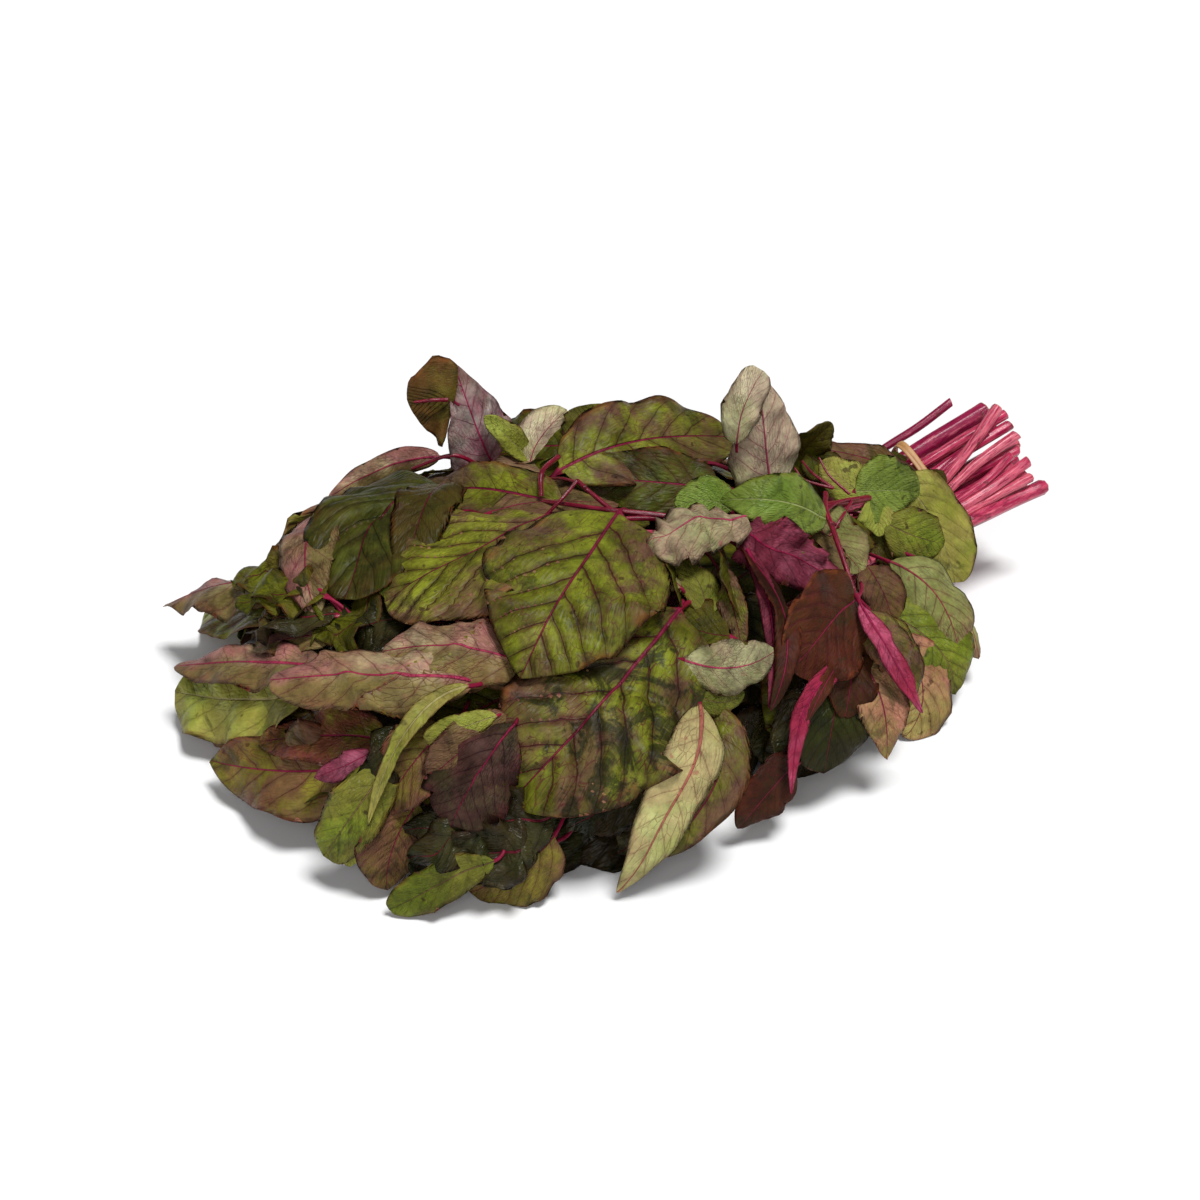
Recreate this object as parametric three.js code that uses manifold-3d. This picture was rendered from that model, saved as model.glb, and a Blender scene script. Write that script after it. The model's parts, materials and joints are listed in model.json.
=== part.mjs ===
// A tied bunch of red-veined amaranth greens, lying on its side on a table.
// Millimetres, +Z up. The cut stem ends point to +X and the leaf tips to -X; -Y is the front, where the
// broad leaves lie. The origin is on the table, under the middle of the bunch's box.
import * as THREE from "three";
import { LoftGeometry } from "three/addons/geometries/LoftGeometry.js";
import { mergeVertices } from "three/addons/utils/BufferGeometryUtils.js";
import Module from "manifold-3d";

// ---------------------------------------------------------------- driving dimensions

// The heap of leaves is roughly half an ellipsoid, flat side down.
const HEAP_CENTRE = new THREE.Vector3(-25, -5, 0);
const HEAP_RADII = new THREE.Vector3(175, 135, 92);

const BLADE_THICKNESS = 1.2;
const STALK_HALF_WIDTH = 1.6;
const STALK_THICKNESS = 3;
const STALK_LENGTH = 22;
const CORE_HEIGHT = 40; // height of the heap's core, where the stalks come from
const CLEARANCE = 0.35; // air kept between two pieces that touch
const NO_CURL = 0.01; // degrees, as good as flat
const FLAT = { fold: 0, curl: 0, ruffle: 0 };
const SIMPLIFIED = 0.05; // how far a cut piece's surface may move as needless corners are dropped
const BLADE_STEPS = 7; // stations along a blade
const STALK_STEPS = 2;
const BLADE_COLUMNS = 4; // strips across a blade
const LEAF_SHAPE = [0.45, 0.65]; // how blunt the outline is at the base and at the tip

const STEM_SIDES = 8;
const STEM_STEPS = 7;
const STEM_TAPER = 0.62; // inner end's diameter over the cut end's
// The stems leave the heap as a flattened fan: its low front edge, then the step to its high back edge.
const FAN_AT_CUT = { edge: [241, 0, 53], across: [-14, 28, 38], layer: [0, 7, -5] };
const FAN_AT_NECK = { edge: [190, -12, 49], across: [-16, 34, 22], layer: [0, 8, -6] };

const BAND = { across: 29, through: 10.1, squareness: 4, thickness: 2.2 };

const COLOURS = {
  olive: 0x76813a,
  fresh: 0x6f9a3e,
  dark: 0x3c4a2c,
  pale: 0x9fa077,
  mauve: 0x8a6a73,
  pink: 0xb0527a,
  brown: 0x7d5a3a,
  red: 0x7c3434,
  stem: 0xc2416f,
  band: 0xc98a45,
};

// A point on the heap's skin: x along the bunch, degrees around it from the crest (positive towards the
// back), and how far it stands off the skin.
function skin(x, around, lift = 0) {
  const reach = Math.sqrt(Math.max(0, 1 - ((x - HEAP_CENTRE.x) / HEAP_RADII.x) ** 2));
  const angle = THREE.MathUtils.degToRad(around);
  const y = HEAP_CENTRE.y + (HEAP_RADII.y * reach + lift) * Math.sin(angle);
  const z = (HEAP_RADII.z * reach + lift) * Math.cos(angle);
  return [x, y, Math.max(z, 1)];
}

const FRONT = [0.1, -0.8, 0.45]; // the way that a leaf on the front of the heap faces

// Each leaf: name, the base, middle and tip of its blade, its width, its colour, and what its shape needs:
// face for the way its upper side looks and roll about the midrib; fold and curl of its halves in degrees,
// one number or left and right; ruffle of the margin in millimetres and its waves; blunt for the outline at
// the base and at the tip; stalk for the stalk's length. Leaves listed first lie on top.
const LEAVES = [
  ["leaf_centre_upper", [-4, -30, 112], [-46, -75, 111], [-76, -98, 88], 82, "olive",
    { curl: [-14, -20], ruffle: 3.5, waves: 2.6, blunt: [0.45, 0.75] }],
  ["leaf_centre_left", [-30, -10, 106], [-70, -24, 106], [-112, -22, 88], 84, "olive",
    { roll: 8, curl: [-14, -10], ruffle: 3.5, waves: 2.4, blunt: [0.5, 0.5] }],
  ["leaf_centre_lower", [2, -85, 93], [-48, -119, 81], [-92, -127, 48], 88, "olive",
    { curl: [-18, -24], ruffle: 4.5, waves: 2.4, blunt: [0.42, 0.6], stalk: 12 }],
  ["leaf_left_folded", [-60, 56, 90], [-90, 36, 98], [-128, -8, 84], 70, "dark",
    { face: [-0.3, -0.5, 0.8], fold: [24, -2], curl: [-10, -30], ruffle: 6,
      waves: 1.4, blunt: [0.5, 0.5] }],
  ["leaf_top_wide", [-8, 28, 104], [34, 32, 108], [88, 44, 91], 46, "olive",
    { face: [0, -0.7, 0.75], fold: [2, 6], curl: [-22, 18], ruffle: 3.5,
      waves: 3.2, blunt: [0.45, 0.45] }],
  ["leaf_top_crest", [-21, 84, 74], [-33, 75, 106], [-45, 76, 143], 42, "mauve",
    { face: [-0.35, 1, -0.1], fold: [-4, 4], curl: [20, 4], ruffle: 1.5, blunt: [0.3, 0.9], stalk: 6 }],
  ["leaf_top_flap", [-46, 72, 125], [-56, 75, 126], [-66, 79, 124], 47, "brown",
    { face: [0.1, -1, 0.1], curl: [8, -14], ruffle: 3, waves: 1.4, blunt: [0.22, 0.6], stalk: 3 }],
  ["leaf_top_long", [-18, 4, 101], [-44, 37, 96], [-68, 84, 73], 29, "olive",
    { face: [-0.1, -0.6, 0.7], roll: -4, curl: [18, -14], ruffle: 3, waves: 1.6 }],
  ["leaf_top_under", [62, 4, 92], [28, 12, 98], [-2, 34, 96], 34, "olive",
    { face: [0.1, -0.7, 0.7], curl: [-12, 14], ruffle: 2.5, waves: 2.4 }],
  ["leaf_upright_pale", [92, 8, 83], [88, 9, 109], [84, 12, 145], 38, "pale",
    { face: [0.1, 0.95, -0.3], fold: 6, curl: [14, -8], ruffle: 2.5, waves: 2.4,
      blunt: [0.3, 0.8], stalk: 6 }],
  ["leaf_upright_tip", [71, 4, 114], [74, 4, 132], [85, 7, 148], 20, "pale",
    { face: [-0.25, -1, 0.1], roll: 180, fold: 6, curl: 10, blunt: [0.4, 0.3], stalk: 4 }],
  ["leaf_fresh_front", [96, -43, 93], [68, -45, 109], [47, -30, 108], 28, "fresh",
    { face: [-0.1, -0.7, 0.6], curl: -12, blunt: [0.55, 0.9] }],
  ["leaf_pale_curled", [54, -43, 105], [22, -56, 114], [-1, -53, 110], 28, "pale",
    { roll: 180, curl: [30, 10], ruffle: 4, waves: 5, blunt: [0.4, 0.4] }],
  ["leaf_magenta_under", [51, -44, 98], [64, -68, 96], [88, -88, 78], 30, "pink",
    { face: [-0.2, -0.8, 0.6], roll: 180, curl: 8, ruffle: 6, waves: 5, blunt: [0.35, 0.7] }],
  ["leaf_fresh_pair", [128, -12, 83], [143, -15, 82], [161, -16, 76], 34, "fresh",
    { face: FRONT, fold: [20, 6], curl: [-22, -14], ruffle: 3, waves: 2.6, blunt: [0.5, 0.75] }],
  ["leaf_right_big", [152, -12, 81], [168, -22, 62], [170, -42, 38], 39, "fresh",
    { face: [-0.05, -0.8, 0.5], curl: [-14, -28], ruffle: 2, waves: 1.4, blunt: [0.5, 0.5] }],
  ["leaf_right_brown", [172, 2, 70], [147, 10, 84], [118, 22, 91], 17, "brown",
    { face: [0.1, -0.5, 0.8], curl: [-30, 10], ruffle: 2 }],
  ["leaf_right_edge", [150, -36, 54], [165, -54, 40], [166, -76, 16], 30, "pale",
    { face: [0.6, -0.6, 0.4], roll: 180, fold: 14, curl: [30, 44], ruffle: 3,
      waves: 1.6, blunt: [0.5, 0.5] }],
  ["leaf_right_blister", [134, -40, 58], [147, -62, 50], [151, -80, 29], 40, "pale",
    { face: FRONT, roll: 180, fold: [14, 8], curl: [52, 30], ruffle: 3.5,
      waves: 1.8, blunt: [0.5, 0.45] }],
  ["leaf_right_bright", [122, -58, 44], [140, -80, 32], [146, -90, 10], 40, "fresh",
    { face: FRONT, curl: -22, ruffle: 2.5 }],
  ["leaf_right_orange", [116, -72, 40], [128, -92, 22], [112, -101, 3], 36, "brown",
    { face: FRONT, curl: -12, blunt: [0.6, 0.6] }],
  ["leaf_pink_fold", [88, -94, 80], [88, -120, 70], [101, -134, 44], 11, "pink",
    { face: FRONT, roll: 180, ruffle: 1.5 }],
  ["leaf_red_brown", [90, -86, 78], [66, -104, 80], [44, -113, 70], 48, "red",
    { face: [-0.3, -0.8, 0.3], curl: 14, ruffle: 3, waves: 2, blunt: [0.4, 0.5] }],
  ["leaf_dark_hanging", [76, -103, 56], [61, -125, 48], [53, -134, 24], 38, "dark",
    { face: FRONT, curl: -10, blunt: [0.6, 0.4] }],
  ["leaf_twisted", [-4, -124, 71], [-24, -153, 54], [-54, -152, 5], 28, "pale",
    { roll: 180, curl: 16, ruffle: 2.5, blunt: [0.5, 0.7] }],
  ["leaf_long_pink", [-92, -85, 82], [-127, -70, 88], [-170, -38, 72], 34, "mauve",
    { roll: 184, fold: [3, 8], curl: [30, 20], ruffle: 3, waves: 2.4, blunt: [0.5, 0.45], stalk: 6 }],
  ["leaf_left_green", [-154, -34, 58], [-176, 0, 38], [-199, 42, 18], 44, "fresh",
    { face: [-0.3, -0.5, 0.8], roll: -4, curl: [-14, -24], ruffle: 6, waves: 2.8, blunt: [0.5, 0.35] }],
  ["leaf_left_brown", [-140, -76, 46], [-168, -54, 32], [-196, -12, 14], 44, "brown",
    { face: [-0.3, -0.5, 0.8], fold: [6, 6], curl: [-24, 10], ruffle: 4.5,
      waves: 2.2, blunt: [0.55, 0.8] }],
  ["leaf_low_green", [-134, -94, 58], [-151, -102, 44], [-167, -98, 19], 27, "fresh",
    { face: [-0.4, -0.7, 0.5], fold: 10, curl: -22, ruffle: 2, blunt: [0.5, 0.35], stalk: 6 }],
  ["leaf_mauve_dark", [-84, -112, 76], [-106, -122, 62], [-118, -124, 42], 42, "mauve",
    { face: [-0.3, -0.75, 0.55], roll: 180, fold: [12, 6], curl: [30, 14], ruffle: 4, waves: 2.4,
      blunt: [0.6, 0.35], stalk: 4 }],
  ["leaf_bottom_green", [-104, -138, 28], [-126, -132, 18], [-147, -124, 4], 19, "fresh",
    { face: [-0.2, -0.8, 0.5], fold: 14, curl: -24, ruffle: 1.5, blunt: [0.5, 0.4], stalk: 8 }],
  ["leaf_far_left", [-142, 31, 70], [-164, 66, 54], [-191, 100, 26], 40, "mauve",
    { roll: 186, fold: 6, curl: 20, ruffle: 4, waves: 2.4, blunt: [0.5, 0.9] }],
  ["leaf_back_top", skin(130, 30), skin(88, 42, 8), skin(40, 50), 60, "olive", { curl: -20 }],
  ["leaf_back_upper", skin(48, 34), skin(4, 42, 8), skin(-45, 48), 70, "olive", { curl: -20, ruffle: 2 }],
  ["leaf_back_left", skin(-52, 34), skin(-98, 42, 8), skin(-145, 48), 64, "brown", { curl: -18, ruffle: 2 }],
  ["leaf_back_right", skin(130, 68), skin(98, 80, 6), skin(60, 88), 56, "fresh", { curl: -16 }],
  ["leaf_back_middle", skin(75, 68), skin(32, 76, 10), skin(-10, 86), 66, "olive", { curl: -20, ruffle: 2 }],
  ["leaf_back_lower", skin(0, 70), skin(-45, 78, 8), skin(-90, 88), 66, "dark", { curl: -20, ruffle: 2 }],
  ["leaf_back_end", skin(-78, 66), skin(-112, 74, 6), skin(-146, 88), 50, "olive", { curl: -16, ruffle: 2 }],
  ["leaf_inner_right", skin(125, -45, -6), skin(82, -54, -2), skin(35, -62, -8), 74, "dark", { curl: -20 }],
  ["leaf_inner_middle", skin(95, -8, -12), skin(52, -18, -10), skin(5, -30, -14), 66, "dark", { curl: -20 }],
  ["leaf_inner_left", skin(-70, -36, -10), skin(-106, -42, -8), skin(-142, -52, -12), 66, "dark",
    { curl: -20 }],
  ["leaf_under_right", [150, -35, 0], [105, -60, 0], [60, -85, 0], 56, "olive",
    { face: [0, 0, 1], curl: 0 }],
  ["leaf_under_neck", [150, 35, 0], [110, 60, 0], [65, 80, 0], 56, "olive", { face: [0, 0, 1], curl: 0 }],
  ["leaf_under_front", [0, -60, 0], [-45, -80, 0], [-90, -100, 0], 60, "dark", { face: [0, 0, 1], curl: 0 }],
  ["leaf_under_back", [-5, 55, 0], [-50, 70, 0], [-100, 80, 0], 62, "olive", { face: [0, 0, 1], curl: 0 }],
  ["leaf_under_left", [-75, -10, 0], [-125, -12, 0], [-175, -5, 0], 60, "brown",
    { face: [0, 0, 1], curl: 0 }],
];

// Each stem: how far across the fan it lies, 0 in the front layer or 1 behind it, how much shorter than the
// longest it is cut, its diameter there, and the points that it passes on its way into the heap.
const STEMS = [
  [0.0, 0, 0, 7.4, [[20, -70, 40]]],
  [0.17, 0, 3, 6.0, [[60, -60, 58]]],
  [0.33, 0, 10, 5.6, [[-45, -40, 52]]],
  [0.5, 0, 2, 5.2, [[140, -10, 74], [100, -26, 84], [58, -36, 90], [20, -24, 92], [-40, 18, 88]]],
  [0.68, 0, 0, 5.0, [[-60, 0, 60]]],
  [0.85, 0, 1, 5.2, [[-30, 30, 76]]],
  [0.08, 1, 4, 5.2, [[60, -40, 26]]],
  [0.28, 1, 0, 6.4, [[-80, -30, 34]]],
  [0.5, 1, 0, 7.4, [[-20, 5, 40]]],
  [0.74, 1, 2, 6.6, [[-60, 40, 42]]],
  [0.98, 1, 3, 8.8, [[0, 60, 54]]],
  [1.22, 1, 16, 4.2, [[60, 60, 56]]],
];

// ---------------------------------------------------------------- solids

const wasm = await Module();
wasm.setup();

function solidOf(geometry) {
  const shell = new THREE.BufferGeometry();
  shell.setAttribute("position", geometry.getAttribute("position"));
  shell.setIndex(geometry.index);
  const merged = mergeVertices(shell, 1e-4);
  const mesh = new wasm.Mesh({
    numProp: 3,
    vertProperties: merged.attributes.position.array,
    triVerts: new Uint32Array(merged.index.array),
  });
  return new wasm.Manifold(mesh);
}

function geometryOf(solid) {
  const mesh = solid.getMesh();
  const geometry = new THREE.BufferGeometry();
  geometry.setAttribute("position", new THREE.BufferAttribute(mesh.vertProperties, 3));
  geometry.setIndex(new THREE.BufferAttribute(mesh.triVerts, 1));
  const faceted = geometry.toNonIndexed();
  faceted.computeVertexNormals();
  return faceted;
}

const vector = (xyz) => new THREE.Vector3(...xyz);
const pair = (value) => (Array.isArray(value) ? value : [value, value]);

// The quadratic curve from one point to another that passes through a third halfway.
function curveThrough(start, middle, end) {
  const control = middle.clone().multiplyScalar(2).addScaledVector(start, -0.5).addScaledVector(end, -0.5);
  return new THREE.QuadraticBezierCurve3(start, control, end);
}

// A leaf's outline: 0 at the base and the tip, 1 where it is widest.
function outline(u, [atBase, atTip]) {
  const widest = atBase / (atBase + atTip);
  return (u / widest) ** atBase * ((1 - u) / (1 - widest)) ** atTip;
}

// The direction square to a midrib that the upper side of a leaf faces: away from the heap, unless the leaf
// says another, turned about the midrib by its roll.
function faceOf(middle, chord, shape) {
  const outward = shape.face
    ? vector(shape.face)
    : middle.clone().sub(HEAP_CENTRE).divide(HEAP_RADII).divide(HEAP_RADII);
  outward.addScaledVector(chord, -outward.dot(chord)).normalize();
  return outward.applyAxisAngle(chord, THREE.MathUtils.degToRad(shape.roll ?? 0));
}

// A point on a curve with its direction there, moved on by so much.
function stationOn(curve, along, onward) {
  const tangent = curve.getTangent(along);
  return { centre: curve.getPoint(along).addScaledVector(tangent, onward), tangent };
}

// A leaf's stalk leaves the blade straight and bends in towards the core of the heap.
function stalkOf(base, leaving, length) {
  const core = new THREE.Vector3(base.x + length / 2, HEAP_CENTRE.y, CORE_HEIGHT);
  const inward = core.sub(base).normalize();
  const knee = base.clone().addScaledVector(leaving, -length * 0.5);
  const root = knee.clone().addScaledVector(leaving, -length * 0.3);
  root.addScaledVector(inward, length * 0.5);
  return new THREE.QuadraticBezierCurve3(root, knee, base);
}

// A leaf is one loft from the cut of its stalk to its tip. Every section is a thin ring: across the upper
// side and back across the lower. grow is air added all round, for the space that other pieces leave free.
function leafGeometry(base, middle, tip, width, shape, grow) {
  const midrib = curveThrough(base, middle, tip);
  const chord = tip.clone().sub(base).normalize();
  const face = faceOf(middle, chord, shape);
  const stalk = stalkOf(base, midrib.getTangent(0), shape.stalk ?? STALK_LENGTH);

  const sections = [];
  for (let step = 0; step < STALK_STEPS; step++) {
    const size = { half: STALK_HALF_WIDTH, thickness: STALK_THICKNESS, rounding: 0.5, u: 0, grow };
    const station = stationOn(stalk, step / STALK_STEPS, step === 0 ? -grow : 0);
    sections.push(ring(station, face, size, FLAT));
  }
  for (let step = 0; step <= BLADE_STEPS; step++) {
    const u = step / BLADE_STEPS;
    const half = Math.max((width / 2) * outline(u, shape.blunt ?? LEAF_SHAPE), STALK_HALF_WIDTH);
    const thickness = THREE.MathUtils.lerp(STALK_THICKNESS, BLADE_THICKNESS, Math.min(1, u * 4));
    const size = { half, thickness, rounding: 0, u, grow };
    const station = stationOn(midrib, u, step === BLADE_STEPS ? grow : 0);
    sections.push(ring(station, face, size, shape));
  }
  return new LoftGeometry(sections, { closed: true, capStart: true, capEnd: true });
}

// One section of a leaf. Each half runs out from the midrib as an arc: it leaves at the fold angle and
// turns by the curl angle; the ruffle lifts and drops the margin in waves.
function ring({ centre, tangent }, face, { half, thickness, rounding, u, grow }, shape) {
  const up = face.clone().addScaledVector(tangent, -face.dot(tangent)).normalize();
  const side = tangent.clone().cross(up);
  const folds = pair(shape.fold ?? 3).map((degrees) => THREE.MathUtils.degToRad(degrees));
  const curls = pair(shape.curl ?? -6).map((degrees) => THREE.MathUtils.degToRad(degrees || NO_CURL));
  const upper = [];
  const lower = [];
  for (let column = 0; column <= BLADE_COLUMNS; column++) {
    const v = (2 * column) / BLADE_COLUMNS - 1;
    const reach = Math.abs(v);
    const fold = folds[v < 0 ? 0 : 1];
    const curl = curls[v < 0 ? 0 : 1];
    const wave = Math.sin(2 * Math.PI * (shape.waves ?? 2) * u + (v > 0 ? 2 : 0)) * Math.sin(Math.PI * u);
    const out = ((half + grow) * (Math.sin(fold + curl * reach) - Math.sin(fold))) / curl;
    const arc = ((half + grow) * (Math.cos(fold) - Math.cos(fold + curl * reach))) / curl;
    const rise = arc + (shape.ruffle ?? 1.2) * reach * wave;
    const point = centre.clone().addScaledVector(side, Math.sign(v) * out).addScaledVector(up, rise);
    point.z = Math.max(point.z, BLADE_THICKNESS / 2);
    const depth = (thickness * (1 - rounding * reach ** 2)) / 2 + grow;
    upper.push(onTable(point.clone().addScaledVector(up, depth), grow));
    lower.push(onTable(point.clone().addScaledVector(up, -depth), grow));
  }
  return [...upper, ...lower.reverse()];
}

// Nothing reaches below the table.
function onTable(point, grow) {
  point.z = Math.max(point.z, -grow);
  return point;
}

// A stem from its cut end through the tied neck into the heap, thinner inwards.
function stemGeometry(fraction, layer, shorter, diameter, inside, grow) {
  const cut = fanPoint(FAN_AT_CUT, fraction, layer);
  const neck = fanPoint(FAN_AT_NECK, fraction, layer);
  cut.addScaledVector(cut.clone().sub(neck).normalize(), -shorter);
  const path = new THREE.CatmullRomCurve3([cut, neck, ...inside.map(vector)]);
  const frames = path.computeFrenetFrames(STEM_STEPS);
  const sections = [];
  for (let step = 0; step <= STEM_STEPS; step++) {
    const along = step / STEM_STEPS;
    const radius = (diameter / 2) * THREE.MathUtils.lerp(1, STEM_TAPER, along) + grow;
    const { centre } = stationOn(path, path.getUtoTmapping(along), step === STEM_STEPS ? grow : 0);
    const section = [];
    for (let side = 0; side < STEM_SIDES; side++) {
      const angle = (2 * Math.PI * side) / STEM_SIDES;
      const point = centre.clone().addScaledVector(frames.normals[step], Math.cos(angle) * radius);
      section.push(point.addScaledVector(frames.binormals[step], Math.sin(angle) * radius));
    }
    sections.push(section);
  }
  return new LoftGeometry(sections, { closed: true, capStart: true, capEnd: true });
}

function fanPoint(fan, fraction, layer) {
  const point = vector(fan.edge).addScaledVector(vector(fan.across), fraction);
  return point.addScaledVector(vector(fan.layer), layer);
}

// The rubber band is pulled tight round the neck of the fan: flat above and below it, and round at both
// ends. Its outline is |x / across| ^ squareness + |y / through| ^ squareness = 1.
function bandGeometry(grow) {
  const centre = fanPoint(FAN_AT_NECK, 0.5, 0.5);
  const axis = fanPoint(FAN_AT_CUT, 0.5, 0.5).sub(centre).normalize();
  const across = vector(FAN_AT_NECK.across).normalize();
  across.addScaledVector(axis, -across.dot(axis)).normalize();
  const through = axis.clone().cross(across);
  const loop = new THREE.TorusGeometry(BAND.across, BAND.thickness / 2 + grow, 6, 40);
  const half = [BAND.across, BAND.through];
  const points = loop.getAttribute("position");
  for (let index = 0; index < points.count; index++) {
    const [x, y] = [points.getX(index), points.getY(index)];
    const thick = Math.hypot(x, y) - BAND.across;
    const way = [x, y].map((value) => value / Math.hypot(x, y));
    const shares = way.map((value, side) => Math.abs(value / half[side]) ** BAND.squareness);
    const reach = (shares[0] + shares[1]) ** (-1 / BAND.squareness);
    const slope = way.map((value, side) => shares[side] / (value || 1));
    const out = slope.map((value) => value / Math.hypot(...slope));
    points.setXY(index, way[0] * reach + out[0] * thick, way[1] * reach + out[1] * thick);
  }
  const place = new THREE.Matrix4().makeBasis(across, through, axis);
  return loop.applyMatrix4(place.setPosition(centre));
}

// ---------------------------------------------------------------- assembly

const bunch = new THREE.Group();
const placed = []; // the room each piece already takes, with its clearance

// Cuts away the room of the pieces already in place, and keeps the largest piece that is left.
function fitted(solid) {
  const box = solid.boundingBox();
  for (const room of placed) {
    const other = room.boundingBox();
    const apart = [0, 1, 2].some((axis) => box.min[axis] > other.max[axis] || other.min[axis] > box.max[axis]);
    if (!apart) solid = solid.subtract(room);
  }
  const pieces = solid.decompose().sort((one, two) => two.volume() - one.volume());
  return pieces[0].simplify(SIMPLIFIED);
}

function add(name, solid, room, colour, roughness) {
  const material = new THREE.MeshStandardMaterial({ color: COLOURS[colour], roughness, metalness: 0 });
  const mesh = new THREE.Mesh(geometryOf(fitted(solid)), material);
  mesh.name = name;
  bunch.add(mesh);
  placed.push(room);
}

add("rubber_band", solidOf(bandGeometry(0)), solidOf(bandGeometry(CLEARANCE)), "band", 0.6);

STEMS.forEach((row, index) => {
  const stem = (grow) => solidOf(stemGeometry(...row, grow));
  add(`stem_${index + 1}`, stem(0), stem(CLEARANCE), "stem", 0.45);
});

for (const [name, base, middle, tip, width, colour, shape] of LEAVES) {
  const points = [base, middle, tip].map(vector);
  const leaf = (grow) => solidOf(leafGeometry(...points, width, shape, grow));
  add(name, leaf(0), leaf(CLEARANCE), colour, 0.55);
}

// The origin is on the table, under the middle of the bunch.
const box = new THREE.Box3().setFromObject(bunch);
bunch.position.set(-(box.min.x + box.max.x) / 2, -(box.min.y + box.max.y) / 2, -box.min.z);

const group = new THREE.Group();
group.add(bunch);

export default group;
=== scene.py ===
# %% [markdown]
# # A tied bunch of red-veined amaranth greens
# The bunch lies on its side on a pale table. Crimson stems fan out to the right, a rubber band holds their
# neck, and more than a hundred leaves are heaped over them. Every leaf is one surface worked out with numpy,
# so the lesson is mostly about one good leaf and then about placing many of them.

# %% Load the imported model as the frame
import json
import math
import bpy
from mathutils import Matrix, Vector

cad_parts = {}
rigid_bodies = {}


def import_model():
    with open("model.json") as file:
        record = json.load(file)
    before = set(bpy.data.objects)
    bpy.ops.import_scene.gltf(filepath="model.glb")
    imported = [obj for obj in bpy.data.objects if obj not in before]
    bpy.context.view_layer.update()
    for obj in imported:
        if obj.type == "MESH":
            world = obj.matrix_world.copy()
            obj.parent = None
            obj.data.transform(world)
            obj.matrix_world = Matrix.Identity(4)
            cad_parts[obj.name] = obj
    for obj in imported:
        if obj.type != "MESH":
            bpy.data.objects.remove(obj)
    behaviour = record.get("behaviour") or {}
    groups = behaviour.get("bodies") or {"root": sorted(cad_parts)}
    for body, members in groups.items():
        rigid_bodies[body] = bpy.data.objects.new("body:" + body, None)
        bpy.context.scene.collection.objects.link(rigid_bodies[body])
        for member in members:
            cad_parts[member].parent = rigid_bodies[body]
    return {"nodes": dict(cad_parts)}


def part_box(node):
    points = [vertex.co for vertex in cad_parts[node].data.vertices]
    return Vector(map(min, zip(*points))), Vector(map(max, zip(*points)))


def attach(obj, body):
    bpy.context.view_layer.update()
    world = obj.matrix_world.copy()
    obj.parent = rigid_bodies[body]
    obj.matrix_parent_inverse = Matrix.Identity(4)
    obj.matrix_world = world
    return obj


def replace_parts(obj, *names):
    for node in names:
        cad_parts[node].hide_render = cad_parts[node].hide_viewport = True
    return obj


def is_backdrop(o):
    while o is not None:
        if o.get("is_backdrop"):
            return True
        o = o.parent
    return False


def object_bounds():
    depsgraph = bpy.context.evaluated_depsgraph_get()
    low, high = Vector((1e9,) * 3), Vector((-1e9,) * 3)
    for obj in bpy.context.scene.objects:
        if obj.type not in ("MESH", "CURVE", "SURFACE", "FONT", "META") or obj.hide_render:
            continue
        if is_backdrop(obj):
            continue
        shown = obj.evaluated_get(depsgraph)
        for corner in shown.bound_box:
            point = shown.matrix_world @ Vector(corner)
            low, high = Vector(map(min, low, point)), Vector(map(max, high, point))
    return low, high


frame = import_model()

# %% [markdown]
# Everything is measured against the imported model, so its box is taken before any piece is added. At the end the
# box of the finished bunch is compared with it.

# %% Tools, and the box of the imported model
from types import SimpleNamespace

import bpy
import numpy as np

cad_box = [list(corner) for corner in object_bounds()]
size_mm = [round(1000 * (high - low)) for low, high in zip(*cad_box)]
print("the packed bunch measures", size_mm, "mm")

# %% [markdown]
# ## Where things are
# Places are written in millimetres from a point on the table under the heap. The frame's origin lies
# elsewhere, so the step between the two is measured on the rubber band, a ring whose middle is known.

# %% The step from the heap's own point to the frame's origin
MM = 0.001
HEAP_CENTRE = np.array([-25.0, -5.0, 0.0])
HEAP_RADII = np.array([175.0, 135.0, 92.0])
# each fan: its low front edge, the way across all of it, and the step back from one layer to the next
FAN_AT_CUT = np.array([[241, 0, 53], [-14, 28, 38], [0, 7, -5]], float)
FAN_AT_NECK = np.array([[190, -12, 49], [-16, 34, 22], [0, 8, -6]], float)


def fan_point(fan, fraction, layer):
    """A place in the fan of stems: its low front edge, plus a share of the way across, plus a step back."""
    return fan[0] + fraction * fan[1] + layer * fan[2]


band_centre = fan_point(FAN_AT_NECK, 0.5, 0.5)
band_low, band_high = (np.array(corner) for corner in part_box("rubber_band"))
STEP = (band_low + band_high) / 2 - band_centre * MM
print("step from the heap's point to the origin, mm:", np.round(STEP / MM, 1))

# %% [markdown]
# The leaves on the unseen side follow the heap's outline, half an egg lying on the table. A place on it needs
# only two numbers: how far along the bunch, and how many degrees round it.

# %% The heap's skin
SKIN_LOWEST = 1.0


def skin(x, around, lift=0.0):
    """A point on the heap's skin: x along the bunch, degrees round it from the crest towards the back."""
    reach = math.sqrt(max(0.0, 1 - ((x - HEAP_CENTRE[0]) / HEAP_RADII[0]) ** 2))
    angle = math.radians(around)
    y = HEAP_CENTRE[1] + (HEAP_RADII[1] * reach + lift) * math.sin(angle)
    z = (HEAP_RADII[2] * reach + lift) * math.cos(angle)
    return (x, y, max(z, SKIN_LOWEST))


def unit(v):
    """Vectors of length one, the same way as v."""
    return v / np.maximum(np.linalg.norm(v, axis=-1, keepdims=True), 1e-9)


print("the heap's crest is at", skin(HEAP_CENTRE[0], 0), "and its back foot at", skin(HEAP_CENTRE[0], 90))

# %% [markdown]
# ## Shader maths in plain Python
# A material is a graph of nodes, but its maths is easier to read as a formula. `Value` wraps a socket and
# adds a Math node for each operator, so `1 - mask * 0.5` builds the same nodes as the mouse would.

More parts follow.
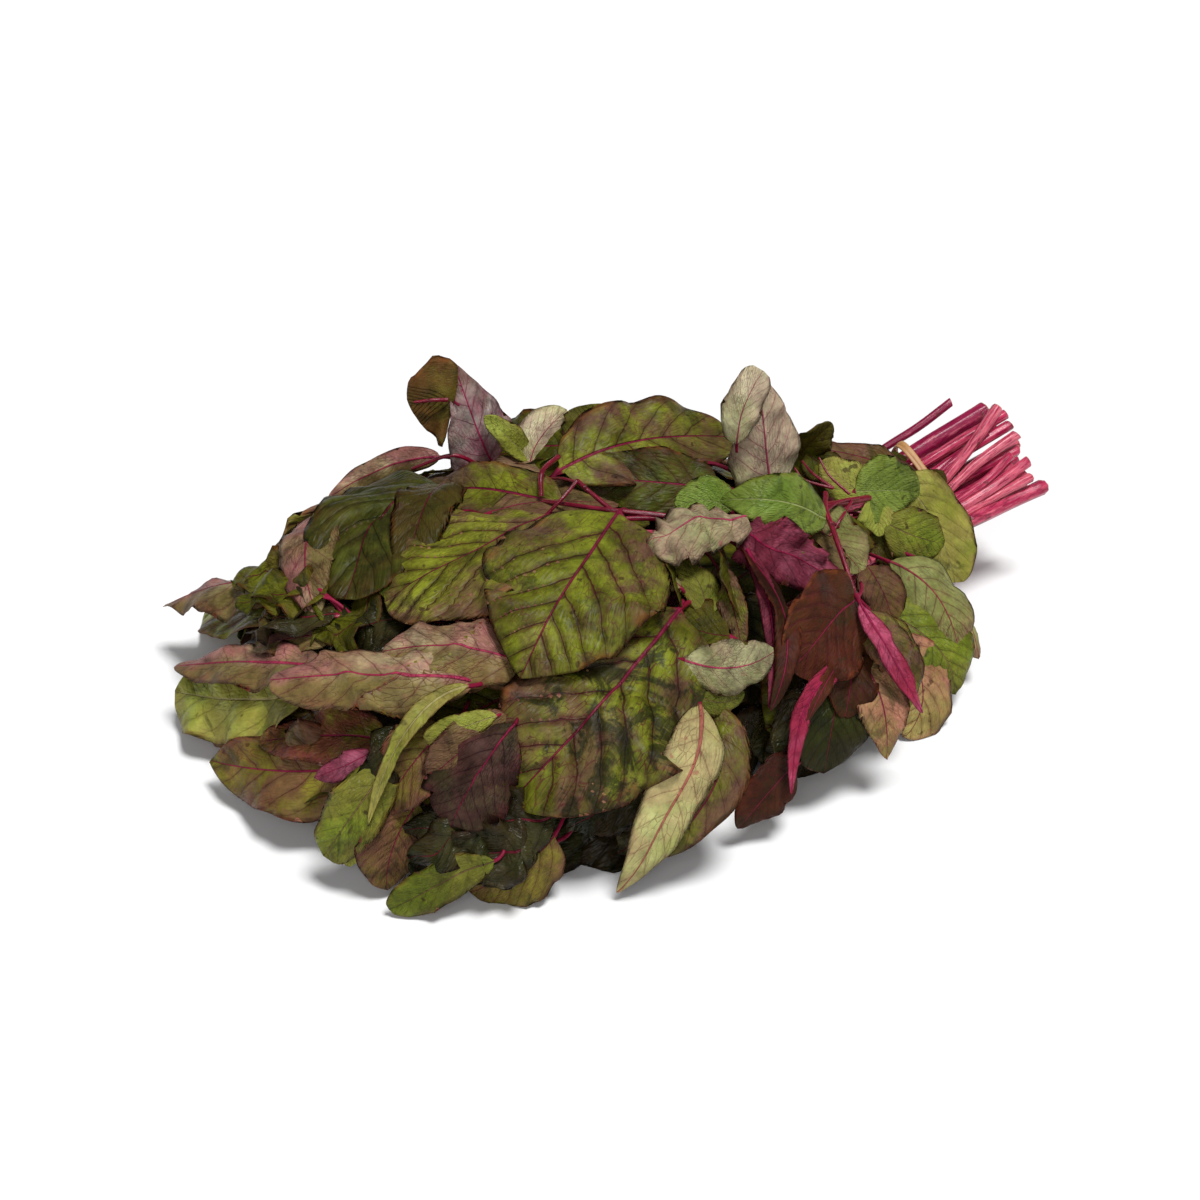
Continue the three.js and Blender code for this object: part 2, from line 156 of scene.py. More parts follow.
# %% A socket that can be added, multiplied and compared
class Value:
    """A number that varies over a surface: a node's output socket with Python's operators."""

    def __init__(self, shader, socket):
        self.shader = shader
        self.socket = socket

    def math(self, operation, *others):
        """Adds the Math node of this operation."""
        return self.shader.node("ShaderNodeMath", {"operation": operation}, [self, *others])

    def __add__(self, other):
        return self.math("ADD", other)

    def __radd__(self, other):
        return self.math("ADD", other)

    def __sub__(self, other):
        return self.math("SUBTRACT", other)

    def __rsub__(self, other):
        return (self * -1).math("ADD", other)

    def __mul__(self, other):
        return self.math("MULTIPLY", other)

    def __rmul__(self, other):
        return self.math("MULTIPLY", other)

    def __truediv__(self, other):
        return self.math("DIVIDE", other)


# %% [markdown]
# Every node is added by one method, which sets it up and links it. The other methods name the few kinds of
# node that come up again and again: a smooth step, a mix of two colours, a noise, a cell pattern.

# %% One material's node tree
class Shader:
    """One material's node tree, with one method that adds any node."""

    def __init__(self, name):
        self.material = bpy.data.materials.new(name)
        self.material.use_nodes = True
        self.tree = self.material.node_tree
        self.tree.nodes.clear()

    def node(self, kind, settings=None, inputs=(), output=0):
        """Adds a node, sets its settings, then its sockets by order or by name, and gives back one output."""
        made = self.tree.nodes.new(kind)
        for key, value in (settings or {}).items():
            setattr(made, key, value)
        pairs = inputs.items() if isinstance(inputs, dict) else enumerate(inputs)
        for key, value in pairs:
            if isinstance(value, Value):
                self.tree.links.new(value.socket, made.inputs[key])
            else:
                made.inputs[key].default_value = value
        return Value(self, made.outputs[output]) if made.outputs else None

    def place(self):
        """Where a point lies in its object, in metres."""
        return self.node("ShaderNodeTexCoord", {}, (), "Object")

    def attribute(self, name, output="Vector"):
        """What the mesh holds for a point or a face under this name."""
        return self.node("ShaderNodeAttribute", {"attribute_name": name}, (), output)

    def parts(self, vector):
        """The three numbers of a vector."""
        return [self.node("ShaderNodeSeparateXYZ", {}, [vector], axis) for axis in "XYZ"]

    def combine(self, *numbers):
        """A vector from three numbers."""
        return self.node("ShaderNodeCombineXYZ", {}, numbers)

    def vectors(self, operation, *inputs):
        """Adds the Vector Math node of this operation."""
        return self.node("ShaderNodeVectorMath", {"operation": operation}, inputs)

    def smooth(self, value, low, high):
        """0 below low, 1 above high and a smooth step between them."""
        return self.node(
            "ShaderNodeMapRange",
            {"interpolation_type": "SMOOTHSTEP"},
            {"Value": value, "From Min": low, "From Max": high},
        )

    def mix(self, factor, one, other, blend="MIX"):
        """The colour one, turned into the colour other where factor is 1."""
        colours = [c if isinstance(c, Value) else (*c, 1.0) for c in (one, other)]
        settings = {"data_type": "RGBA", "blend_type": blend}
        return self.node("ShaderNodeMix", settings, {0: factor, 6: colours[0], 7: colours[1]}, 2)

    def noise(self, place, scale, detail=3.0, roughness=0.55, distortion=0.0):
        """Clouds between 0 and 1, about scale of them to a metre."""
        inputs = {"Vector": place, "Scale": scale, "Detail": detail}
        inputs |= {"Roughness": roughness, "Distortion": distortion}
        return self.node("ShaderNodeTexNoise", {}, inputs, "Fac")

    def cell_edges(self, place):
        """A pattern of cells: how far a point lies from the nearest edge between two of them."""
        inputs = {"Vector": place, "Scale": 1.0}
        return self.node("ShaderNodeTexVoronoi", {"feature": "DISTANCE_TO_EDGE"}, inputs)

    def bump(self, strength, distance, height):
        """A surface direction tilted as if the height, times distance in metres, were real."""
        inputs = {"Strength": strength, "Distance": distance, "Height": height}
        return self.node("ShaderNodeBump", {}, inputs, "Normal")

    def finish(self, **inputs):
        """Feeds a Principled BSDF and the material's output."""
        names = {"colour": "Base Color", "roughness": "Roughness", "normal": "Normal", "ior": "IOR"}
        inputs = {names[key]: value for key, value in inputs.items()}
        surface = self.node("ShaderNodeBsdfPrincipled", {}, inputs, "BSDF")
        self.node("ShaderNodeOutputMaterial", {}, {"Surface": surface})
        return self.material


# %% [markdown]
# ## The skin of a leaf
# On the real plant a leaf has a bright magenta midrib, about seven pairs of side veins that sweep towards the
# tip, and a fine net between them. A painted texture could show that, but it would be one leaf copied. Each
# leaf mesh here carries its own two measures, how far along and how far across a point lies, so one formula
# draws the veins on every leaf and bends with it.

# %% How the side veins run
VEIN_PAIRS = 7.2
VEIN_LEAN = 0.55
VEIN_SWEEP = 1.5
VEIN_FAN = 0.8
VEIN_STAGGER = 0.4  # of the way between two veins, how far one half's veins are out of step with the other's


def vein_phase(along, across):
    """A count that passes a whole number at each side vein: along less a lean and a sweep with the distance
    across, both as shares of the leaf's length, and shared out so that veins near the tip lean more."""
    return VEIN_PAIRS * (along - across * VEIN_LEAN - across * across * VEIN_SWEEP) / (across * VEIN_FAN + 1)


for across in (0.0, 0.1, 0.2):
    print("half way along, %.1f lengths off the midrib, it is %.2f" % (across, vein_phase(0.5, across)))

# %% [markdown]
# The pattern is built up as masks, numbers from 0 to 1 that say where a thing is. The first come straight from
# the mesh: its points say how far along, across and out they are, its faces say which side of the leaf they
# are on, and two chance ages make every leaf a little different.

# %% What the mesh says of each point
def leaf_measures(s):
    """The numbers that the mesh holds for each point and face, and what follows from them alone."""
    m = SimpleNamespace(place=s.place(), kind=s.attribute("leaf_kind"))
    m.along, m.signed, m.edge = s.parts(s.attribute("leaf_place"))
    m.upper, m.age, m.other_age = s.parts(m.kind)
    m.grown = s.attribute("leaf_grown", "Fac") * 0.75 + 0.25
    m.across = m.signed.math("ABSOLUTE")
    m.stalk = 1 - s.smooth(m.along, -0.015, 0.004)
    m.is_top = s.smooth(m.upper, 0.3, 0.7)
    return m


# %% [markdown]
# A side vein is where the vein count is near a whole number, so its mask is the count's distance from one.
# Veins thin out and fade towards the margin, wander a little, and are fainter on small young leaves.

# %% Masks of the veins and the net between them
RIB_WIDTH, RIB_TAPER = 0.0105, 0.0082  # as shares of the leaf's length


def vein_masks(s, m):
    """Side veins near whole counts, thinner outwards, the tissue beside them, and the tapering midrib."""
    m.wander = s.noise(m.place, 48.0, 2.0)
    stagger = m.signed.math("LESS_THAN", 0.0) * VEIN_STAGGER
    m.phase = vein_phase(m.along, m.across) + stagger + (m.wander - 0.5) * 0.6
    from_vein = ((m.phase + 0.5).math("FRACT") - 0.5).math("ABSOLUTE")
    fading = 1 - s.smooth(m.edge, 0.6, 0.97) * 0.7
    thin = (0.044 - m.edge * 0.026) * (s.noise(m.place, 190.0, 2.0) * 1.1 + 0.4)
    line = 1 - s.smooth(from_vein / thin, 0.35, 1.0)
    m.side_vein = line * s.smooth(m.phase, 0.25, 0.6) * fading * m.grown
    m.beside = (1 - s.smooth(from_vein, 0.0, 0.3)) * s.smooth(m.phase, 0.2, 0.8) * m.grown
    m.from_rib = m.across / (RIB_WIDTH - m.along * RIB_TAPER)
    m.rib = 1 - s.smooth(m.from_rib, 0.5, 1.15)
    m.rib_core = 1 - s.smooth(m.from_rib, 0.0, 0.5)


def net_masks(s, m):
    """A coarse and a fine net: the edges of cells laid out along the veins and across them."""
    coarse = s.combine(m.phase * 2.4 + m.wander * 1.5, m.across * 36.0 + m.wander * 2.0, m.age * 9.0)
    m.cells = s.cell_edges(coarse)
    m.net = (1 - s.smooth(m.cells, 0.0, 0.07)) * s.smooth(s.noise(m.place, 90.0, 3.0), 0.35, 0.6)
    m.fine = s.cell_edges(s.combine(m.phase * 5.0 + m.wander, m.across * 62.0, m.age * 5.0))
    m.fine_line = 1 - s.smooth(m.fine, 0.0, 0.12)


# %% [markdown]
# No living leaf is one even colour. A purple veil lies over parts of it, clouds of lighter tissue show between
# the veins, and there are specks, spots and bruises from handling. Each is a noise of its own size.

# %% Masks of what is uneven
def blemish_masks(s, m):
    """Noises of different sizes; a smooth step makes most of them into patches."""
    moved = s.vectors("ADD", m.place, m.kind)
    m.veil = s.smooth(s.noise(moved, 30.0, 5.0, 0.62, 0.4) + (m.age - 0.5) * 0.16, 0.4, 0.6)
    m.cloud = s.smooth(s.noise(m.place, 34.0, 4.0, 0.6), 0.36, 0.62)
    m.patch = s.smooth(s.noise(m.place, 70.0, 4.0, 0.65, 0.4), 0.42, 0.6)
    m.speck = s.noise(m.place, 480.0, 4.0, 0.65)
    m.mottle = s.noise(moved, 105.0, 5.0, 0.7)
    m.pucker = s.noise(moved, 80.0, 3.0, 0.5)
    m.spot = s.smooth(s.noise(m.place, 210.0, 2.0, 0.4), 0.69, 0.75)
    m.bruises = s.noise(moved, 42.0, 5.0, 0.7, 1.0)
    m.streaks = s.noise(s.vectors("MULTIPLY", m.place, (40.0, 300.0, 300.0)), 1.0)


# %% [markdown]
# A colour starts as plain tissue and takes one layer after another, the way they lie on the leaf: the purple
# flush, the halo beside a vein, partly a purple tint and partly painted shade in the sunken tissue, the net, the
# veins, the margin, blemishes, and the midrib over everything, its crest painted lighter as a painted highlight.

# %% The two sides of the blade
BRUISE = (0.012, 0.016, 0.004)


def upper_colour(s, m, look):
    """Tissue, flush, halo, net, veins, margin, spots, bruises and midrib, each mixed over the ones before."""
    # Beside the veins less of the lighter tissue shows and vein colour mixes in by the halo strength: partly the
    # leaf's purple tint and partly painted shade in the sunken tissue.
    top = s.mix(m.cloud * (1 - m.beside * 0.55), look["top"], look["top_light"])
    flush = s.smooth(m.edge + (m.patch - 0.5) * 0.5 - m.along * 0.2, 0.3, 0.95) * 0.5 + m.veil * 0.85
    top = s.mix(flush.math("MINIMUM", 1.0) * look["flush_share"], top, look["flush"])
    top = s.mix(m.beside * look["halo_and_valley_shade"] * (m.patch * 0.8 + 0.2), top, look["vein"])
    top = s.mix((m.net + m.fine_line * 0.22).math("MINIMUM", 1.0) * look["net"], top, look["vein"])
    top = s.mix(m.side_vein * look["vein_share"], top, look["vein"])
    border = s.smooth(m.edge + (m.patch - 0.5) * 0.14, 0.86, 1.04)
    top = s.mix(border * look["margin_share"], top, look["margin"])
    top = s.mix(m.spot * 0.7, top, look["spot"])
    bruise = s.smooth(m.bruises + look["bruise"] * 0.07, 0.53, 0.63) * (0.5 + look["bruise"] * 0.4)
    top = s.mix(bruise, top, BRUISE)
    top = s.mix(m.rib, top, look["rib"])
    # The midrib's crest is painted lighter: a painted highlight along the ridge.
    return s.mix(m.rib_core * 0.4, top, look["rib_crest_highlight"])


def under_colour(s, m, look):
    """Paler tissue, a veil, on some looks one greener half, then net, veins, flushed edge, spots and midrib."""
    under = s.mix(m.cloud, look["under"], look["under_light"])
    under = s.mix(m.veil * 0.85, under, look["under_veil"])
    if "green_half" in look:
        half = s.smooth(m.signed + (m.wander - 0.5) * 0.12, -0.03, 0.05)
        under = s.mix(half * 0.8, under, look["green_half"])
    under = s.mix(m.beside * 0.2 + m.net * 0.2 + m.fine_line * 0.08, under, look["under_vein"])
    under = s.mix(m.side_vein * 0.75, under, look["under_vein"])
    under = s.mix(m.patch * s.smooth(m.edge, 0.5, 1.0) * 0.5, under, look["flush"])
    under = s.mix(m.spot * 0.5, under, look["under_vein"])
    return s.mix((1 - s.smooth(m.from_rib, 0.5, 1.3)) * 0.9, under, look["under_rib"])


# %% [markdown]
# The finish puts the two sides together, adds the dark rim and the stalk, and mottles it all, with painted shade
# beside the veins. Veins are sunk into the upper side and stand out below, and the tissue swells between them,
# which is what catches the light.

# %% The leaf material, made once for each look
def leaf_height(s, m):
    """Swollen tissue less sunken veins above, raised veins below, and streaks along the stalk."""
    swell = s.smooth(m.cells, 0.0, 0.4) * 0.25 + s.smooth(m.fine, 0.0, 0.35) * 0.04
    top = swell - m.side_vein * 0.6 - m.beside * 0.6 - m.rib * 0.4 + m.speck * 0.05
    under = m.side_vein * 0.9 + m.rib * 0.6 + m.net * 0.3 + swell * 0.5 + m.speck * 0.1
    height = top * m.is_top + under * (1 - m.is_top) + m.pucker * 0.5
    return height * (1 - m.stalk) + m.streaks * m.stalk * 0.4


def leaf_material(name, look):
    """Upper and lower sides, veins, net, margin and blemishes, all from the leaf's own measures."""
    s = Shader(name)
    m = leaf_measures(s)
    for add_masks in (vein_masks, net_masks, blemish_masks):
        add_masks(s, m)
    blade = s.mix(m.is_top, under_colour(s, m, look), upper_colour(s, m, look))
    blade = s.mix(s.smooth(m.edge, 0.98, 0.995) * 0.45, blade, look["rim"])
    colour = s.mix(m.stalk, blade, s.mix(m.streaks, look["stalk"], look["stalk_light"]))
    # Random mottle, specks and age vary the tone; the term beside the veins is painted shade in the sunken
    # tissue.
    tone_and_valley_shade = (m.mottle - 0.5) * look["mottle"] + (m.speck - 0.5) * 0.35 + (m.other_age - 0.5) * 0.3
    tone_and_valley_shade = tone_and_valley_shade + 0.5 - m.beside * look["halo_and_valley_shade"] * 0.3
    shade = s.node("ShaderNodeMapRange", {}, {"Value": tone_and_valley_shade, "To Min": 0.4, "To Max": 1.65})
    colour = s.mix(1.0, colour, s.node("ShaderNodeCombineColor", {}, [shade, shade, shade]), "MULTIPLY")
    gloss = look["gloss"]
    top_roughness = m.patch * 0.14 + m.speck * 0.14 + gloss - 0.14
    roughness = top_roughness * m.is_top + (1 - m.is_top) * (m.speck * 0.1 + gloss + 0.06)
    normal = s.bump(look["relief"], 0.0011, leaf_height(s, m))
    return s.finish(colour=colour, roughness=roughness, normal=normal, ior=1.2)


# %% [markdown]
# ## The looks
# One bunch holds leaves of very different colours, and one material code serves them all: a look is a small
# table of colours and strengths. Colours are the share of red, green and blue light that the leaf gives back.
# Strengths say how much of a layer shows, and relief how strong the bump is. An olive leaf flushed with purple
# is the commonest, so it holds every entry, and each other look says only how it differs.

# %% The look of an olive leaf
OLIVE = dict(
    top=(0.08, 0.082, 0.006), top_light=(0.19, 0.22, 0.015), flush=(0.12, 0.058, 0.038),
    vein=(0.075, 0.01, 0.014), rib=(0.13, 0.006, 0.024), rib_crest_highlight=(0.33, 0.03, 0.09),
    margin=(0.19, 0.062, 0.014), rim=(0.16, 0.024, 0.02), spot=(0.03, 0.01, 0.006), under=(0.23, 0.105, 0.055),
    under_light=(0.3, 0.2, 0.08), under_veil=(0.22, 0.07, 0.065), under_vein=(0.15, 0.018, 0.03),
    under_rib=(0.24, 0.01, 0.045), stalk=(0.13, 0.004, 0.018), stalk_light=(0.24, 0.012, 0.045),
    flush_share=0.92, halo_and_valley_shade=0.34, net=0.6, vein_share=0.85, margin_share=0.6, bruise=0.0, mottle=1.5, relief=0.9,
    gloss=0.46,
)
print("a look has", len(OLIVE), "entries")

# %% [markdown]
# Young leaves are a plain fresh green, their veins pale instead of purple. Leaves deep in the heap take the dark
# look, partly an older leaf's deeper green and partly painted shade, and wilted ones are nearly black and shine a
# little, because they are wet.

# %% Looks of the upper side, from young to wilted
FRESH = OLIVE | dict(
    top=(0.1, 0.162, 0.02), top_light=(0.2, 0.28, 0.05), flush=(0.14, 0.16, 0.025), flush_share=0.5,
    vein=(0.2, 0.27, 0.07), vein_share=0.4, halo_and_valley_shade=0.0, net=0.12, rib=(0.26, 0.3, 0.1),
    rib_crest_highlight=(0.34, 0.37, 0.15), margin=(0.15, 0.14, 0.02), rim=(0.14, 0.08, 0.03), under=(0.14, 0.19, 0.04),
    under_light=(0.21, 0.27, 0.07), under_veil=(0.18, 0.2, 0.07), under_vein=(0.17, 0.11, 0.05),
    under_rib=(0.29, 0.19, 0.09), gloss=0.36, mottle=0.7,
)
GREEN = OLIVE | dict(
    top=(0.075, 0.095, 0.007), top_light=(0.16, 0.2, 0.018), flush=(0.13, 0.1, 0.02), flush_share=0.6,
    vein=(0.05, 0.03, 0.01), vein_share=0.5, halo_and_valley_shade=0.1, rib=(0.12, 0.07, 0.03), rib_crest_highlight=(0.2, 0.17, 0.07),
    margin=(0.17, 0.09, 0.02),
)
LIME = GREEN | dict(
    top=(0.18, 0.19, 0.025), top_light=(0.29, 0.33, 0.055), flush=(0.22, 0.15, 0.05), flush_share=0.55,
    vein=(0.13, 0.08, 0.02), vein_share=0.3, net=0.2, halo_and_valley_shade=0.04, rib=(0.26, 0.22, 0.08),
    rib_crest_highlight=(0.34, 0.3, 0.13), mottle=1.2,
)
DARK = OLIVE | dict(
    top=(0.036, 0.04, 0.002), top_light=(0.1, 0.108, 0.005), flush=(0.055, 0.026, 0.007),
    vein=(0.018, 0.005, 0.003), rib=(0.08, 0.006, 0.012), rib_crest_highlight=(0.15, 0.02, 0.04),
    margin=(0.1, 0.024, 0.005), under=(0.08, 0.062, 0.018), under_light=(0.12, 0.11, 0.035),
    under_veil=(0.085, 0.034, 0.026), under_vein=(0.05, 0.011, 0.012), under_rib=(0.13, 0.01, 0.025),
    flush_share=0.6, vein_share=0.6, halo_and_valley_shade=0.2,
)
MOSS = DARK | dict(
    top=(0.008, 0.01, 0.0012), top_light=(0.019, 0.022, 0.0025), flush=(0.018, 0.012, 0.003), vein_share=0.4,
    net=0.15, halo_and_valley_shade=0.1,
)
WILTED = DARK | dict(
    top=(0.006, 0.009, 0.002), top_light=(0.036, 0.033, 0.01), flush=(0.026, 0.013, 0.006),
    vein=(0.005, 0.003, 0.002), margin=(0.03, 0.012, 0.005), rim=(0.04, 0.01, 0.008),
    under=(0.026, 0.024, 0.01), under_light=(0.05, 0.045, 0.02), under_veil=(0.035, 0.018, 0.012), gloss=0.28,
)
LOOKS = dict(
    olive=OLIVE,
    bruised=OLIVE | dict(bruise=0.75, net=0.8, halo_and_valley_shade=0.45),
    lime=LIME,
    fresh=FRESH,
    green=GREEN,
    dark=DARK,
    moss=MOSS,
    wilted=WILTED,
)
print("the darkest look gives back", WILTED["top"], "and the palest", LIME["top_light"])

# %% [markdown]
# Many leaves lie with their underside up. There the veins stand out, and the colour runs from tan and silvery
# green to mauve, where the leaf is flushed, and to a bright magenta on young ones.

# %% Looks whose underside shows
UNDERSIDES = dict(
    pale=dict(
        under=(0.12, 0.13, 0.03), under_light=(0.23, 0.245, 0.08), under_veil=(0.19, 0.11, 0.065),
        under_vein=(0.17, 0.03, 0.04),
    ),
    # The rosy look is painted lighter than the other undersides: painted light for leaves that face away from the
    # key light.
    rosy=dict(
        under=(0.42, 0.41, 0.2), under_light=(0.62, 0.62, 0.37), under_veil=(0.5, 0.38, 0.27),
        under_vein=(0.45, 0.03, 0.12), under_rib=(0.4, 0.02, 0.1), rim=(0.3, 0.03, 0.06),
    ),
    mauve=dict(
        under=(0.19, 0.12, 0.055), under_light=(0.34, 0.27, 0.15), under_veil=(0.26, 0.1, 0.09),
        green_half=(0.12, 0.1, 0.022), under_vein=(0.15, 0.01, 0.035), under_rib=(0.27, 0.01, 0.055),
        flush=(0.15, 0.03, 0.028), gloss=0.32, mottle=2.2,
    ),
    plum=dict(
        under=(0.034, 0.028, 0.01), under_light=(0.075, 0.06, 0.026), under_veil=(0.06, 0.022, 0.02),
        under_vein=(0.04, 0.005, 0.012), under_rib=(0.24, 0.008, 0.05), flush=(0.12, 0.016, 0.024),
        rim=(0.3, 0.02, 0.07), mottle=2.2,
    ),
    pink=dict(
        under=(0.26, 0.02, 0.05), under_light=(0.42, 0.08, 0.15), under_veil=(0.2, 0.012, 0.035),
        under_vein=(0.09, 0.004, 0.014), under_rib=(0.24, 0.01, 0.05), flush=(0.17, 0.014, 0.03),
    ),
    magenta=dict(
        under=(0.19, 0.024, 0.05), under_light=(0.33, 0.09, 0.14), under_veil=(0.13, 0.016, 0.03),
        under_vein=(0.06, 0.003, 0.01), under_rib=(0.24, 0.01, 0.05), flush=(0.13, 0.012, 0.024), mottle=2.0,
    ),
    crest=dict(
        under=(0.26, 0.16, 0.13), under_light=(0.48, 0.4, 0.36), under_veil=(0.32, 0.11, 0.15),
        under_vein=(0.32, 0.014, 0.08), under_rib=(0.45, 0.015, 0.11), flush=(0.16, 0.03, 0.05),
        rim=(0.35, 0.05, 0.12), mottle=2.0,
    ),
    straw=dict(
        under=(0.24, 0.25, 0.075), under_light=(0.37, 0.39, 0.15), under_veil=(0.33, 0.26, 0.12),
        under_vein=(0.24, 0.05, 0.05), under_rib=(0.3, 0.07, 0.06),
    ),
    silver=dict(
        under=(0.185, 0.19, 0.077), under_light=(0.345, 0.335, 0.175), under_veil=(0.27, 0.19, 0.125),
        under_vein=(0.28, 0.025, 0.075), under_rib=(0.38, 0.02, 0.09), rim=(0.3, 0.03, 0.06), mottle=2.2,
    ),
)
LOOKS |= {name: OLIVE | changes for name, changes in UNDERSIDES.items()}
print(len(UNDERSIDES), "looks for leaves that lie upside down")

# %% [markdown]
# A few leaves on top have a look of their own: sunlit is the olive look painted lighter, a painted light for the
# leaf that lies in full light; dusky, shaded and dim are painted darker, a painted shade for those in shade; and
# some have begun to turn brown, orange or red.

# %% Looks of single leaves
LOOKS |= dict(
    sunlit=OLIVE | dict(
        top=(0.105, 0.105, 0.009), top_light=(0.25, 0.28, 0.021), flush=(0.155, 0.075, 0.048),
        margin=(0.23, 0.085, 0.02),
    ),
    dusky=OLIVE | dict(
        top=(0.032, 0.04, 0.003), top_light=(0.08, 0.095, 0.009), flush=(0.055, 0.028, 0.015),
    ),
    tawny=OLIVE | dict(
        top=(0.11, 0.095, 0.01), top_light=(0.2, 0.18, 0.02), flush=(0.15, 0.07, 0.018),
        margin=(0.2, 0.055, 0.012),
    ),
    shaded=DARK | dict(
        top=(0.032, 0.035, 0.004), top_light=(0.068, 0.076, 0.009), vein_share=0.35, halo_and_valley_shade=0.06, net=0.2,
    ),
    dim=DARK | dict(
        top=(0.021, 0.023, 0.002), top_light=(0.046, 0.052, 0.005), vein_share=0.35, halo_and_valley_shade=0.06, net=0.2,
    ),
    brown=OLIVE | dict(
        top=(0.075, 0.06, 0.008), top_light=(0.16, 0.14, 0.018), flush=(0.115, 0.05, 0.03),
        margin=(0.15, 0.045, 0.02), under=(0.11, 0.052, 0.02), under_light=(0.17, 0.1, 0.03),
    ),
    orange=OLIVE | dict(
        top=(0.16, 0.12, 0.035), top_light=(0.29, 0.24, 0.075), flush=(0.3, 0.13, 0.085),
        vein=(0.16, 0.03, 0.02), margin=(0.26, 0.08, 0.03),
    ),
    red=OLIVE | dict(
        top=(0.018, 0.006, 0.002), top_light=(0.042, 0.017, 0.004), flush=(0.058, 0.013, 0.004), relief=0.7,
        gloss=0.6, margin=(0.17, 0.04, 0.01), under=(0.05, 0.009, 0.006),
        under_light=(0.1, 0.028, 0.012),
    ),
)
print(len(LOOKS), "looks in all")

# %% [markdown]
# The record of the part has fewer slots of finish than there are looks, so some looks share one. Then each look
# is made into a material, once.

# %% Slots, and the materials
SHARED_SLOTS = dict(
    olive=("bruised", "sunlit", "dusky"),
    dark=("moss", "wilted", "shaded", "dim"),
    fresh=("green", "lime"),
    pale=("rosy", "straw", "silver"),
    mauve=("plum", "crest"),
    pink=("magenta",),
    brown=("tawny", "orange"),
)
SLOTS = {look: slot for slot, looks in SHARED_SLOTS.items() for look in looks}
MATERIALS = {look: leaf_material(look + "_leaf", entries) for look, entries in LOOKS.items()}
print(len(MATERIALS), "leaf materials, each with", len(MATERIALS["olive"].node_tree.nodes), "nodes")

# %% [markdown]
# ## One leaf as a surface
# A real blade is half a millimetre thick, rides on a round stalk that runs on as the midrib, folds and curls
# about it, and waves at its margin. It could be sculpted, but more than a hundred of them ask for a formula: a
# grid with one direction along the midrib and one across, moved as a whole, given thickness and closed.

# %% A leaf's usual shape, and the sizes of its grid, in millimetres
BLADE_THICKNESS = 0.5
TABLE_GAP = 0.5
CORE_HEIGHT = 40  # of the heap's core, which the stalks bend towards
ROOT_LOWEST = 3
STALK_ROWS = 6
COLUMN_WIDTH, COLUMNS = 4.5, (5, 13)  # columns of a half blade, at fewest and at most
ROW_LENGTH, ROWS = 1.9, (16, 56)
# fold and curl in degrees, one number or left and right; ruffle of the margin in millimetres and its waves;
# ripple, buckle and crumple for how limp it is; shape for the outline at the base and at the tip
USUAL = dict(fold=3, curl=-6, roll=0, sway=0, ruffle=1.2, waves=2, ripple=1, buckle=1, crumple=0,
             stalk=22, shape=(0.45, 0.65), creases=(), fineness=1)


def grid_steps(length, width, fineness):
    """Shares across, crowded at the midrib, along the blade, crowded at its ends, and along the stalk."""
    columns = int(np.clip(width / COLUMN_WIDTH * fineness, *COLUMNS))
    x = np.linspace(-1, 1, 2 * columns + 1)
    v = (np.sign(x) * np.abs(x) ** 1.35)[None, :]
    t = np.linspace(0, 1, int(np.clip(length / ROW_LENGTH * fineness, *ROWS)) + 1)[:-1]
    u = t - 0.085 * np.sin(2 * np.pi * t) + 0.002
    w = np.linspace(0, 1, STALK_ROWS + 1)[:-1]
    return v, u, w


steps = grid_steps(100, 60, 1)
print("a blade 100 by 60 mm has", steps[1].size, "rows of", steps[0].size, "points")

# %% [markdown]
# The midrib is a curve through three points, and the stalk before it leaves the blade straight and then bends
# in towards the heap's core. Along that line travels a frame of two directions, up and sideways.

# %% The line of a leaf and the frame that travels along it
def smooth(x, low, high):
    """0 below low, 1 above high, and three parts square less two parts cube in between."""
    t = np.clip((x - low) / (high - low), 0, 1)
    return t * t * (3 - 2 * t)


def turned(v, axis, degrees):
    """Vectors v turned about unit axes: the part along the axis stays, the rest turns square to it."""
    angle = np.radians(degrees)[..., None] if np.ndim(degrees) else math.radians(degrees)
    along = (v * axis).sum(-1, keepdims=True) * axis
    return along + (v - along) * np.cos(angle) + np.cross(axis, v) * np.sin(angle)


def leaf_line(base, middle, tip, u, w, reach):
    """The parabola through base, middle and tip, and before it the stalk, a curve with a knee near the base."""
    near, far = (u - 0.5) * (u - 1) * 2, u * (u - 0.5) * 2
    blade_line = np.outer(near, base) + np.outer(-4 * u * (u - 1), middle) + np.outer(far, tip)
    leaving = unit(4 * middle - 3 * base - tip)
    core = np.array([base[0] + reach / 2, HEAP_CENTRE[1], CORE_HEIGHT])
    knee = base - leaving * reach * 0.5
    root = knee - leaving * reach * 0.3 + unit(core - base) * reach * 0.5
    root[2] = max(root[2], ROOT_LOWEST)
    stalk_line = np.outer((1 - w) ** 2, root) + np.outer(2 * w * (1 - w), knee) + np.outer(w * w, base)
    return np.vstack([stalk_line, blade_line]), root


def leaf_frame(line, along, chord, outward, roll, twist):
    """For each row the way up, square to the line and near to outward, and the way to the side."""
    outward = unit(outward - (outward @ chord) * chord)
    outward = turned(outward, chord, float(roll))
    way = unit(np.gradient(line, axis=0))
    up = unit(outward - (way * outward).sum(-1, keepdims=True) * way)
    up = turned(up, way, twist * np.clip(along, 0, 1))
    return up, np.cross(way, up)


# %% [markdown]
# Across the leaf each half is an arc: it leaves the midrib at the fold angle and turns by the curl angle. How
# wide it is follows an outline that rises as a power of the way from the base and falls to a pointed tip.

# %% How wide a leaf is, and the arc of each half
STALK_RADIUS, STALK_GROWTH = 0.42, 0.0085  # in millimetres, and how much more of it for each one of the length


